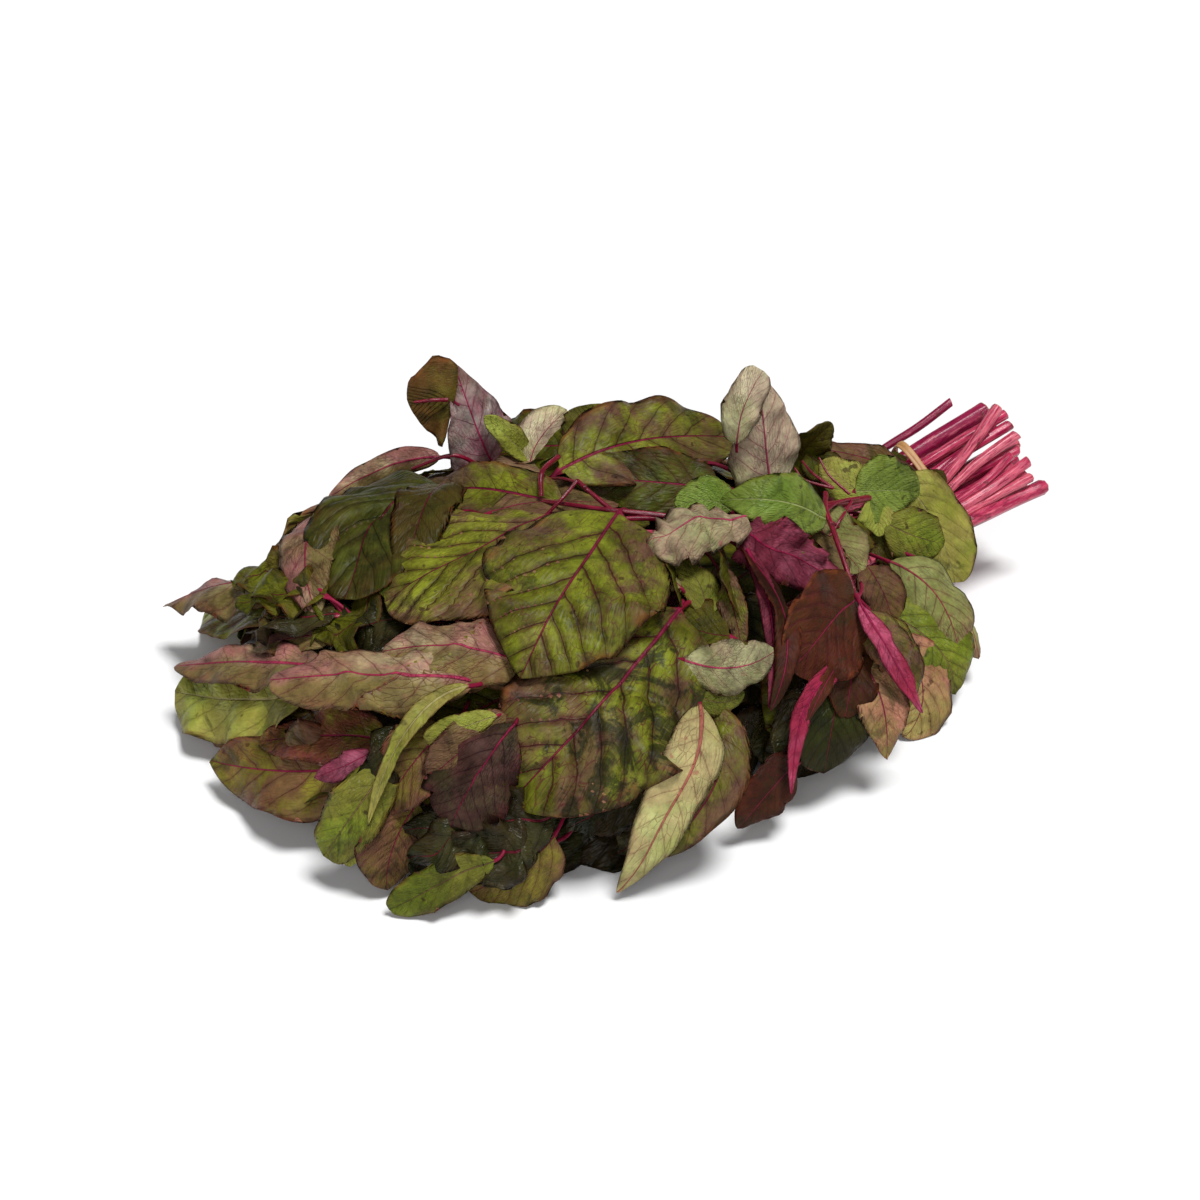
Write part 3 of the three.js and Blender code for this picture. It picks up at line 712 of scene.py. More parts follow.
def outline(u, shape):
    """Half width as a share of the widest: a power of the way from the base times one of the way to the tip."""
    widest = shape[0] / (shape[0] + shape[1])
    return (u / widest) ** shape[0] * ((1 - u) / (1 - widest)) ** shape[1]


def half_widths(along, length, width, shape, bumps):
    """The midrib's radius and the half width at each row, which is never less than the radius."""
    taper = 0.12 + 0.8 * (1 - np.clip(along, 0, 1)) ** 0.8
    radius = (STALK_RADIUS + STALK_GROWTH * length) * np.where(along < 0, 1, taper)
    inside = np.clip(along, 1e-6, 1)
    half = width / 2 * outline(inside, shape) * (along >= 0)
    uneven = 1 + 0.035 * np.sin(2 * np.pi * 2.3 * inside + bumps[0]) + 0.02 * np.sin(30 * inside + bumps[1])
    return radius[:, None], np.maximum(half * uneven, radius)[:, None]


def arc(half, reach, fold, curl):
    """The way out and the rise of one half of a section, which leaves at the fold and turns by the curl."""
    fold, curl = math.radians(fold), math.radians(curl if abs(curl) > 0.01 else 0.01)
    out = half * (np.sin(fold + curl * reach) - math.sin(fold)) / curl
    rise = half * (math.cos(fold) - np.cos(fold + curl * reach)) / curl
    return out, rise


def pair(value):
    """Left and right: two numbers as they are, or one number for both."""
    return value if isinstance(value, tuple) else (value, value)


def section(half, v, fold, curl):
    """Both halves of every section: the way out to the side and the rise."""
    left, right = (arc(half, np.abs(v), pair(fold)[side], pair(curl)[side]) for side in (0, 1))
    return np.where(v < 0, -left[0], right[0]), np.where(v < 0, left[1], right[1])


at = USUAL["shape"][0] / sum(USUAL["shape"])
print("a usual leaf is widest at %.2f of its length from the base" % at)

# %% [markdown]
# A leaf is never smooth: the margin waves and ripples, a crease may cross it, and the tissue is quilted, sunk
# at each side vein and swollen between. Each of these lifts or drops the surface a little.

# %% Waves, ripples and quilting
def ruffles(row, v, ruffle, waves):
    """Waves that grow towards the margin and die out at both ends, out of step on the two halves."""
    wave = np.sin(2 * np.pi * waves * row + np.where(v > 0, 2, 0))
    return ruffle * np.abs(v) * wave * open_share(row)


def open_share(row):
    """Half a sine wave along the blade to a power, so it is 0 at the base and at the tip."""
    return np.sin(np.pi * np.clip(row, 0, 1)) ** 0.7


def ripples(row, v, width, strength, bumps):
    """Two short waves at the margin itself, which every leaf starts at a place of its own."""
    ripple = np.sin(2 * np.pi * 4.2 * row + bumps[2] + np.where(v > 0, 1.7, 0)) * 0.6
    ripple = ripple + np.sin(2 * np.pi * 7.1 * row + bumps[3] + np.where(v > 0, 4, 0)) * 0.4
    return (0.018 * width + 0.5) * strength * np.abs(v) ** 2.5 * ripple * open_share(row)


def quilting(row, v, across, relief):
    """Tissue that swells between the side veins by relief, in millimetres, and sinks at each of them."""
    phase = vein_phase(row, np.abs(across)) + np.where(v < 0, VEIN_STAGGER, 0)
    spread = np.abs(v)
    quilt = np.abs(np.sin(np.pi * phase)) ** 0.8 - 0.5
    quilt = quilt * smooth(spread, 0.02, 0.2) * (1 - smooth(spread, 0.7, 0.98)) * smooth(phase, 0.2, 0.8)
    return relief * quilt * smooth(row, 0, 0.08)


ruffled = ruffles(np.linspace(0, 1, 50), 1.0, USUAL["ruffle"], USUAL["waves"])
print("a usual margin waves between %.1f and %.1f mm" % (ruffled.min(), ruffled.max()))

# %% [markdown]
# Last, the whole blade sags. A limp leaf bends in two long waves, a wilted one buckles in many short ones, and
# the chance directions of the waves come from the leaf's own seed.

# %% Sagging and crumpling
SAG_WAVES = (85, 52)  # their lengths in millimetres
CRUMPLE_WAVES = (46, 27, 17, 11)


def buckled(points, rng, depth):
    """How a limp blade sags out of flat: two long sine waves in chance directions."""
    moved = np.zeros_like(points)
    for length in SAG_WAVES:
        run, push = unit(rng.normal(size=(2, 3)))
        moved += push * np.sin(points @ run * 2 * np.pi / length + rng.uniform(0, 6))[..., None] * depth
    return moved


def crumpled(points, rng, depth):
    """How a wilted blade buckles: a sum of sine waves in chance directions, the short ones shallower."""
    moved = np.zeros_like(points)
    for length in CRUMPLE_WAVES:
        for push in unit(rng.normal(size=(2, 3))):
            run = unit(rng.normal(size=3)) * 2 * np.pi / length
            wave = np.sin(points @ run + rng.uniform(0, 6))[..., None]
            moved += push * wave * depth * length / CRUMPLE_WAVES[0]
    return moved


flat = np.stack(np.meshgrid(np.arange(100.0), np.arange(60.0), [0.0]), axis=-1).reshape(-1, 3)
for limp in (buckled, crumpled):
    moves = np.linalg.norm(limp(flat, np.random.default_rng(0), 2), axis=1)
    print("a flat blade", limp.__name__, "by 2 mm moves by at most %.1f mm" % moves.max())


# %% [markdown]
# The surface gets its thickness: a thin blade all over, and under its middle a round ridge, the midrib, which
# runs on as the stalk. Near the margin the two sides close in on each other.

# %% The two sides of a leaf
def thickened(points, up, along, half, radius, v):
    """The upper and the lower grid, each moved off the surface by the blade's or the midrib's thickness."""
    row, spread = along[:, None], np.abs(v)
    down, over = np.gradient(points, axis=0), np.gradient(points, axis=1)
    normal = unit(np.cross(over, down))
    normal[along < 0] = up[along < 0][:, None, :]
    distance = np.clip(spread * half / radius, 0, 1)
    ridge = np.sqrt(1 - distance**2) * radius
    blade = BLADE_THICKNESS / 2 * np.sqrt(np.clip(1 - spread**6, 0, 1))
    on_stalk = 1 - smooth(row, -0.02, 0.1)
    above = np.maximum(ridge * (0.3 + 0.7 * on_stalk), blade)
    below = np.maximum(ridge, blade)
    upper = points + normal * above[..., None]
    lower = points - normal * below[..., None]
    for grid in (upper, lower):
        grid[..., 2] = np.maximum(grid[..., 2], TABLE_GAP / 2)
    return upper, lower


# %% [markdown]
# All the steps together make one leaf. It also keeps three measures for each point, which the material reads:
# how far along, how far across, and how near the margin it is.

# %% The surface of a leaf
def leaf_surface(base, middle, tip, width, seed, **changes):
    """Rows of sections along a curve through base, middle and tip, in millimetres. Gives the upper and the
    lower grid, the measures of their points, and the places where the stalk and the tip end."""
    shape = SimpleNamespace(**(USUAL | changes))
    rng = np.random.default_rng(seed)
    base, middle, tip = (np.array(point, float) for point in (base, middle, tip))
    length = np.linalg.norm(middle - base) + np.linalg.norm(tip - middle)
    chord = (tip - base) / np.linalg.norm(tip - base)
    v, u, w = grid_steps(length, width, shape.fineness)
    line, root = leaf_line(base, middle, tip, u, w, shape.stalk)
    along = np.concatenate([(w - 1) * shape.stalk / length, u])
    row = along[:, None]

    outward = np.array(shape.face, float) if "face" in changes else (middle - HEAP_CENTRE) / HEAP_RADII**2
    chance_twist = rng.uniform(-14, 14)
    up, side = leaf_frame(line, along, chord, outward, shape.roll, changes.get("twist", chance_twist))
    line = line + side * (shape.sway * np.sin(np.pi * np.clip(along, 0, 1)))[:, None]

    bumps = rng.uniform(0, 2 * np.pi, 4)
    radius, half = half_widths(along, length, width, shape.shape, bumps)
    across = v * half / length
    out, rise = section(half, v, shape.fold, shape.curl)
    rise = rise + ruffles(row, v, shape.ruffle, shape.waves)
    for at, lean, depth, wide in shape.creases:
        rise = rise - depth * np.exp(-(((row - at - lean * v) / wide) ** 2))
    rise = rise + ripples(row, v, width, shape.ripple, bumps)
    rise = rise + quilting(row, v, across, changes.get("relief", 0.014 * width))

    points = line[:, None, :] + side[:, None, :] * out[..., None] + up[:, None, :] * rise[..., None]
    if shape.crumple:
        points = points + crumpled(points, rng, shape.crumple) * smooth(row, 0, 0.25)[..., None]
    else:
        points = points + buckled(points, rng, 0.028 * width * shape.buckle) * smooth(row, 0, 0.3)[..., None]
    points[..., 2] = np.maximum(points[..., 2], TABLE_GAP)
    upper, lower = thickened(points, up, along, half, radius, v)
    edge = np.abs(v) * smooth(row, 0.0, 0.03)
    place = np.stack(np.broadcast_arrays(row, across, edge), axis=-1)
    return upper, lower, place, root, tip


trial = leaf_surface((0, 0, 60), (50, 0, 70), (100, 0, 60), 60, seed=0)
print("the upper side of a leaf is a grid of", trial[0].shape[0], "by", trial[0].shape[1], "points")

# %% [markdown]
# ## From grids to a closed mesh
# The upper and the lower grid share their outermost columns, so each row of the leaf becomes one ring. Rings
# are joined by quads, and the two ends close on a single point, which leaves no hole anywhere.

# %% A mesh from rings
def mesh_object(name, points, faces):
    """An object in the scene, smoothly shaded, from points in millimetres and lists of their numbers."""
    mesh = bpy.data.meshes.new(name)
    mesh.from_pydata((points * MM + STEP).tolist(), [], faces)
    mesh.shade_smooth()
    piece = bpy.data.objects.new(name, mesh)
    bpy.context.scene.collection.objects.link(piece)
    return piece


def ring_mesh(name, rings, start, end, on_points, on_faces):
    """Joins rings, an array of rows by points by three, and closes them at the points start and end."""
    rows, count = rings.shape[:2]
    index = np.arange(rows * count).reshape(rows, count)
    following = np.roll(index, -1, axis=1)
    quads = np.stack([index[:-1], following[:-1], following[1:], index[1:]], axis=-1).reshape(-1, 4)
    first = np.stack([np.full(count, rows * count), following[0], index[0]], axis=-1)
    last = np.stack([index[-1], following[-1], np.full(count, rows * count + 1)], axis=-1)
    points = np.vstack([rings.reshape(-1, 3), [start, end]])
    piece = mesh_object(name, points, quads.tolist() + first.tolist() + last.tolist())
    for domain, values_by_name in (("POINT", on_points), ("FACE", on_faces)):
        for key, values in values_by_name.items():
            layer = piece.data.attributes.new(key, "FLOAT_VECTOR", domain)
            layer.data.foreach_set("vector", values.astype(np.float32).ravel())
    piece.data.validate()
    return piece


# %% [markdown]
# A leaf's ring runs along the upper side and back along the lower one. Its faces are marked with the side they
# belong to, and with two chance ages that come from the leaf's seed.

# %% A leaf object
def make_leaf(name, base, middle, tip, width, look, seed, **shape):
    """A leaf object with its measures stored on its points and its side stored on its faces."""
    upper, lower, place, root, tip = leaf_surface(base, middle, tip, width, seed, **shape)
    rings = np.concatenate([upper[:, :1] / 2 + lower[:, :1] / 2, upper[:, 1:], lower[:, -2:0:-1]], axis=1)
    columns = upper.shape[1]
    rings[:, columns - 1] = (upper[:, -1] + lower[:, -1]) / 2
    measures = np.concatenate([place, place[:, -2:0:-1]], axis=1)
    ends = [[place[0, 0, 0], 0, 0], [1, 0, 1]]
    is_upper = np.arange(rings.shape[1]) < columns - 1
    sides = np.concatenate([np.tile(is_upper, len(rings) - 1), is_upper, is_upper]).astype(float)
    kind = np.stack([sides, np.full(len(sides), seed % 17 / 17), np.full(len(sides), seed % 29 / 29)], axis=-1)
    grown = np.full((len(sides), 3), smooth(width, 15, 70))
    tip = np.array([tip[0], tip[1], max(tip[2], TABLE_GAP)])
    on_points = {"leaf_place": np.vstack([measures.reshape(-1, 3), ends])}
    piece = ring_mesh(name, rings, root, tip, on_points, {"leaf_kind": kind, "leaf_grown": grown})
    piece.data.materials.append(MATERIALS[look])
    SLOTS.get(look, look) + "_leaf"
    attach(piece, "root")
    return piece


# %% [markdown]
# ## Stems
# An amaranth stem is juicy and ribbed, crimson where the sun reached it and pink where it did not. Each one is
# a profile, a circle with low ribs, carried along a smooth path through the fan and the tied neck into the
# heap. The cut end is closed by rings that step in a little, because the pith shrinks as it dries.

# %% A smooth path, and a profile carried along it
def smooth_path(points, count):
    """A curve through points: each stretch is a cubic whose ends lean the way that their neighbours lie."""
    p = np.array(points, float)
    p = np.vstack([2 * p[0] - p[1], p, 2 * p[-1] - p[-2]])
    t = np.linspace(0, len(points) - 1, count)
    i = np.minimum(t.astype(int), len(points) - 2)
    f = (t - i)[:, None]
    a, b, c, d = (p[i + k] for k in range(4))
    return (2 * b + (c - a) * f + (2 * a - 5 * b + 4 * c - d) * f**2 + (3 * b - a - 3 * c + d) * f**3) / 2


def carried(path, radii, sides, ribs, depth, phase):
    """Rings round a path: the radius at each step, times one plus a low cosine wave for each rib."""
    way = unit(np.gradient(path, axis=0))
    across = unit(np.cross(way, (0.12, 0.2, 1.0)))
    rise = np.cross(across, way)
    angle = -np.linspace(0, 2 * np.pi, sides, endpoint=False)
    radius = radii[:, None] * (1 + depth * np.cos(ribs * angle + phase))[None, :]
    turn = np.cos(angle)[:, None] * across[:, None, :] + np.sin(angle)[:, None] * rise[:, None, :]
    return path[:, None, :] + radius[..., None] * turn, angle


bend = smooth_path([(0, 0, 0), (10, 0, 0), (20, 10, 0)], 9)
print("a path through (10, 0, 0) passes", np.round(bend[3:6, :2], 1).tolist())

# %% [markdown]
# The skin of a stem is streaked along its length, and the crests of its ribs are paler, partly the stem's own
# pale streaks and partly a painted highlight. So its measures are how far along the stem a point is and where
# round it, and a noise stretched along them gives the streaks.

# %% The stem's finish
def stem_skin(s, place, measures, pale, ridge):
    """Crimson, with pink streaks and a blush, more so where pale, and fibres both lighter and darker."""
    streak = s.noise(s.vectors("MULTIPLY", measures, (9.0, 3.2, 3.2)), 1.0, 4.0, 0.65)
    streak = s.smooth(streak + (pale - 0.5) * 0.2, 0.4, 0.6)
    fibre = s.noise(s.vectors("MULTIPLY", measures, (14.0, 11.0, 11.0)), 1.0, 4.0, 0.7)
    blush = s.smooth(s.noise(place, 22.0, 3.0), 0.4, 0.62)
    scar = s.smooth(s.noise(place, 150.0, 3.0, 0.6), 0.66, 0.72)
    colour = s.mix(streak, (0.2, 0.004, 0.03), (0.5, 0.036, 0.1))
    layers = [
        (blush * 0.55, (0.5, 0.018, 0.09)),
        (s.smooth(pale, 0.5, 1.0) * s.smooth(fibre, 0.35, 0.6) * 0.55, (0.66, 0.19, 0.22)),
        (s.smooth(pale, 0.4, 0.05) * 0.75, (0.2, 0.004, 0.045)),
        # Paler rib crests: partly the stem's own pale streaks and partly a painted highlight along each rib.
        (s.smooth(ridge, 0.3, 1.0) * streak * 0.45, (0.75, 0.22, 0.26)),
        (s.smooth(fibre, 0.58, 0.7) * 0.5, (0.7, 0.22, 0.22)),
        (s.smooth(fibre, 0.48, 0.36) * 0.8, (0.12, 0.004, 0.022)),
        (scar * 0.8, (0.1, 0.03, 0.02)),
    ]
    for share, layer in layers:
        colour = s.mix(share, colour, layer)
    return colour, fibre, scar


def stem_material(name, depth):
    """The skin and the pale dry cut. The colours are multiplied by depth, so that a thin young stalk is a
    deeper red."""
    s = Shader(name)
    place = s.place()
    measures, kind = s.attribute("stem_place"), s.attribute("stem_kind")
    cut, pale, ridge = s.parts(kind)
    skin_colour, fibre, scar = stem_skin(s, place, measures, pale, ridge)
    pith = s.mix(s.smooth(s.noise(place, 300.0, 3.0), 0.4, 0.6), (0.42, 0.16, 0.13), (0.5, 0.33, 0.17))
    dry = s.smooth(s.noise(place, 60.0, 2.0), 0.45, 0.6)
    pith = s.mix(dry * 0.7, pith, (0.2, 0.07, 0.03))
    on_cut = s.smooth(cut, 0.2, 0.6)
    colour = s.mix(1.0, s.mix(on_cut, skin_colour, pith), depth, "MULTIPLY")
    normal = s.bump(0.5, 0.0006, fibre * 0.5 + ridge * 0.2 - scar * 0.6)
    return s.finish(colour=colour, roughness=fibre * 0.2 + on_cut * 0.3 + 0.2, normal=normal, ior=1.45)


STEM_MATERIALS = {
    "stem": stem_material("red_stem", (1.0, 1.0, 1.0)),
    "stalk": stem_material("crimson_stalk", (0.5, 0.2, 0.32)),
}
print("the stem's skin has", len(STEM_MATERIALS["stem"].node_tree.nodes), "nodes")

# %% [markdown]
# A cut stem is not cut square, its edge is a little bevelled and its pith has sunk. The first rings of the
# stem follow that: out along the bevel, then in over the face in four steps.

# %% A stem object
CUT_STEPS = ((0.93, -0.02), (0.8, 0.04), (0.5, 0.16), (0.2, 0.22))  # size of the ring, and how far it is sunk
CUT_BEVEL = 0.12
CUT_SLANT = 0.35


def cut_end(path, first, cut_radius, slant):
    """The rings of the cut, from its middle out to the bevelled edge."""
    way = unit(path[1] - path[0])
    tilt = ((first - path[0]) @ unit(slant + 1e-6))[:, None] * CUT_SLANT
    cap = [first + way * CUT_BEVEL * cut_radius + tilt * way]
    for size, sink in CUT_STEPS:
        cap.append(path[0] + (first - path[0]) * size + way * sink * cut_radius * 2 + tilt * way * size)
    return np.array(cap[::-1])


def stem_measures(angle, travelled, cut_rings, start):
    """For each point how far along the stem, in tenths of a metre, and where round it, from a chance start."""
    around = np.stack([np.cos(angle), np.sin(angle)], axis=-1) * 0.35
    lengths = np.concatenate([np.zeros(cut_rings), travelled[1:]]) / 100
    along = np.repeat(lengths[:, None, None], len(angle), 1)
    return np.concatenate([along, np.repeat(around[None], len(lengths), 0)], axis=-1) + start


def make_stem(name, path, cut_radius, inner_radius, seed, finish="stem", sides=24, ribs=8, depth=0.05,
              pale=0.3):
    """A closed stem along a path, with a stepped cut at its first end and a plain one at its last."""
    rng = np.random.default_rng(seed)
    travelled = np.concatenate([[0], np.cumsum(np.linalg.norm(np.diff(path, axis=0), axis=1))])
    knots = 1 + 0.05 * np.sin(travelled / 9 + rng.uniform(0, 6)) * rng.uniform(0.4, 1)
    radii = (cut_radius + (inner_radius - cut_radius) * (travelled / travelled[-1])) * knots
    phase = rng.uniform(0, 6)
    body, angle = carried(path, radii, sides, ribs, depth, phase)
    cap = cut_end(path, body[0], cut_radius, rng.normal(size=3) * 0.12 * cut_radius)
    rings = np.concatenate([cap, body[1:]])
    place = stem_measures(angle, travelled, len(cap), rng.uniform(0, 5, 3))
    cut = (np.arange(len(rings)) < len(cap) - 1).astype(float)
    ridge = (np.cos(ribs * angle + phase) + 1) / 2
    kind = np.stack(np.broadcast_arrays(cut[:, None], pale, ridge[None, :]), axis=-1)
    on_points = {
        "stem_place": np.vstack([place.reshape(-1, 3), place[0, :1], place[-1, :1]]),
        "stem_kind": np.vstack([kind.reshape(-1, 3), [[1, 0.5, 0]], [[0, 0.5, 0]]]),
    }
    piece = ring_mesh(name, rings, rings[0].mean(0), path[-1], on_points, {})
    piece.data.materials.append(STEM_MATERIALS[finish])
    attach(piece, "root")
    return piece


# %% [markdown]
# ## The fan of stems
# In the fan the stems lie in two layers, spread at the cut and drawn together at the neck by the band. Twelve
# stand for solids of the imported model, and eight more fill the gaps between them.

# %% Stems of the fan
# each row: how far across the fan at the cut and at the neck, which layer, how much shorter, diameter, how
# pale from 0 to 1, and the way into the heap
STEMS = [
    [0.0, 0.0, 0, 0, 7.4, 0.45, [(20, -70, 40)]],
    [0.17, 0.17, 0, 3, 6.0, 0.8, [(60, -60, 58)]],
    [0.33, 0.33, 0, 10, 5.6, 0.3, [(-45, -40, 52)]],
    [0.5, 0.5, 0, 2, 5.2, 0.5, [(140, -10, 74), (100, -26, 84), (58, -36, 90), (20, -24, 92), (-40, 18, 88)]],
    [0.68, 0.68, 0, 0, 5.0, 0.35, [(-60, 0, 60)]],
    [0.85, 0.85, 0, 1, 5.2, 0.6, [(-30, 30, 76)]],
    [0.08, 0.08, 1, 4, 5.2, 0.7, [(60, -40, 26)]],
    [0.28, 0.28, 1, 0, 6.4, 0.3, [(-80, -30, 34)]],
    [0.5, 0.5, 1, 0, 7.4, 0.9, [(-20, 5, 40)]],
    [0.74, 0.74, 1, 2, 6.6, 0.25, [(-60, 40, 42)]],
    [0.98, 0.98, 1, 3, 8.8, 0.1, [(0, 60, 54)]],
    [1.22, 1.22, 1, 16, 4.2, 0.0, [(60, 60, 56)]],
]
EXTRA_STEMS = [
    [0.14, 0.1, -0.55, 6, 4.6, 0.9, [(60, -60, 48)]],
    [0.34, 0.18, -0.6, 1, 5.6, 0.75, [(60, -50, 50)]],
    [0.52, 0.26, -0.65, 8, 4.2, 0.4, [(60, -30, 60)]],
    [0.66, 0.4, -0.6, 1, 5.2, 0.95, [(60, -10, 64)]],
    [0.92, 0.5, -0.7, 4, 5.4, 0.85, [(60, 10, 66)]],
    [0.78, 0.62, -0.5, 12, 3.6, 0.2, [(60, 30, 66)]],
    [0.38, 0.38, 1.5, 3, 5.0, 0.6, [(60, -10, 40)]],
    [0.86, 0.86, 1.5, 5, 5.0, 0.4, [(60, 30, 46)]],
]
NECK_LAYERS = (-0.1, 1.05)  # the band draws every layer in between these two
NECK_STRAIGHT = 26  # how far a stem runs on behind the neck before it bends
STEM_SWELL, STEM_INNER = 1.06, 0.31  # the cut's diameter, and the inner end's radius, as shares of the diameter


def fan_stem(name, row, seed):
    """A stem of the fan, from its cut end through the neck into the heap."""
    cut_share, neck_share, layer, shorter, diameter, pale, inside = row
    rng = np.random.default_rng(seed)
    cut = fan_point(FAN_AT_CUT, cut_share, layer)
    neck = fan_point(FAN_AT_NECK, neck_share, np.clip(layer, *NECK_LAYERS))
    cut = cut + rng.normal(size=3) * (1.6, 1.6, 1.3)
    cut = cut - unit(cut - neck) * shorter
    middle = (cut + neck) / 2 + rng.normal(size=3) * 0.9
    inside = [np.array(point, float) for point in inside]
    ahead = neck + unit(neck - cut) * NECK_STRAIGHT
    steps = [ahead + (inside[0] - ahead) * share for share in (0.0, 0.35, 0.7)] if len(inside) == 1 else []
    path = smooth_path([cut, middle, neck, *steps, *inside], 40)
    return make_stem(name, path, diameter / 2 * STEM_SWELL, diameter * STEM_INNER, seed, pale=pale)


for seed, row in enumerate(STEMS, 500):
    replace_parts(fan_stem(f"ribbed_stem_{seed - 499}", row, seed), f"stem_{seed - 499}")
for seed, row in enumerate(EXTRA_STEMS, 520):
    fan_stem(f"extra_stem_{seed - 519}", row, seed)
print(len(STEMS), "stems stand for solids and", len(EXTRA_STEMS), "more fill the fan")

# %% [markdown]
# ## The rubber band
# A tan elastic loop is wound three times round the neck. Rubber is matt, with a dusty bloom where it is clean
# and darker where it is worn.

# %% The band's finish
def band_material():
    """Two tans mixed by a fine noise, a dark brown in worn patches, and a low bump from the same fine noise."""
    s = Shader("tan_rubber")
    place = s.place()
    dust = s.noise(place, 160.0, 4.0, 0.6)
    worn = s.smooth(s.noise(place, 45.0, 3.0), 0.55, 0.7)
    colour = s.mix(s.smooth(dust, 0.35, 0.65), (0.4, 0.19, 0.06), (0.5, 0.27, 0.1))
    colour = s.mix(worn * 0.4, colour, (0.26, 0.1, 0.03))
    return s.finish(colour=colour, roughness=dust * 0.2 + 0.4, normal=s.bump(0.3, 0.0003, dust), ior=1.5)


# %% [markdown]
# Each turn is a flat strip, so its profile is a low rounded box, carried round the stems. A circle pulled tight
# round a flat bundle gets flat above and below and stays round at both ends, which the circle's own formula
# gives with a power above two. The turns lean a little, as they do when wound by hand.

# %% The turns of the band
BAND_ACROSS, BAND_THROUGH, BAND_SQUARENESS = 29.0, 10.1, 4.0
STRIP_WIDTH, STRIP_THICKNESS = 2.6, 1.1
TURN_STEPS = 96


def rounded(wave, power):
    """A sine or cosine wave with fuller tops: its size to a power, its sign kept."""
    return np.sign(wave) * np.abs(wave) ** power


def band_turns(count=3):
    """One loop of rubber wound round the neck, carried along the outline
    |x / across| ^ squareness + |y / through| ^ squareness = 1, with a slow drift along the stems."""
    axis = unit(fan_point(FAN_AT_CUT, 0.5, 0.5) - band_centre)
    across = unit(FAN_AT_NECK[1] - (FAN_AT_NECK[1] @ axis) * axis)
    through = np.cross(axis, across)
    t = np.linspace(0, 1, TURN_STEPS * count, endpoint=False)
    angle = 2 * np.pi * count * t
    shift = (2.2 * np.sin(2 * np.pi * t) + 0.9 * np.sin(angle * 0.5 + 1)) * np.sin(np.pi * t) ** 0.3
    share = np.abs(np.cos(angle) / BAND_ACROSS) ** BAND_SQUARENESS
    share = share + np.abs(np.sin(angle) / BAND_THROUGH) ** BAND_SQUARENESS
    reach = share ** (-1 / BAND_SQUARENESS) * (1 + 0.012 * np.sin(2 * np.pi * t))
    ring = np.outer(np.cos(angle) * reach, across) + np.outer(np.sin(angle) * reach, through)
    path = band_centre + ring + np.outer(shift, axis)
    way = unit(np.roll(path, -1, axis=0) - np.roll(path, 1, axis=0))
    out = unit(ring - (ring * way).sum(-1, keepdims=True) * way)
    corner = np.linspace(0, 2 * np.pi, 12, endpoint=False)
    flat = rounded(np.cos(corner), 0.5) * STRIP_WIDTH / 2
    thick = rounded(np.sin(corner), 0.6) * STRIP_THICKNESS / 2
    wide = np.cross(way, out)
    return path[:, None, :] + wide[:, None, :] * flat[None, :, None] + out[:, None, :] * thick[None, :, None]


def closed_loop(name, rings):
    """Joins rings into a tube whose last ring meets its first."""
    index = np.arange(rings.shape[0] * rings.shape[1]).reshape(rings.shape[:2])
    right, ahead = np.roll(index, -1, axis=1), np.roll(index, -1, axis=0)
    quads = np.stack([index, ahead, np.roll(ahead, -1, axis=1), right], axis=-1).reshape(-1, 4)
    return mesh_object(name, rings.reshape(-1, 3), quads.tolist())


band = closed_loop("elastic_band", band_turns())
band.data.materials.append(band_material())
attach(band, "root")
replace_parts(band, "rubber_band")
print("the band has", len(band.data.polygons), "faces")

# %% [markdown]
# ## The leaves that the model holds
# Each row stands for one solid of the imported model: where the base, the middle and the tip of the blade lie,
# in millimetres, how wide it is, its look, and how it rolls, folds, curls and waves. They lie in their real
# order, the ones on top first. A row may also give face, the way that the upper side looks, relief, how far
# the tissue swells between its veins in millimetres, and creases: where along the leaf, how much it leans,
# how deep and how wide.

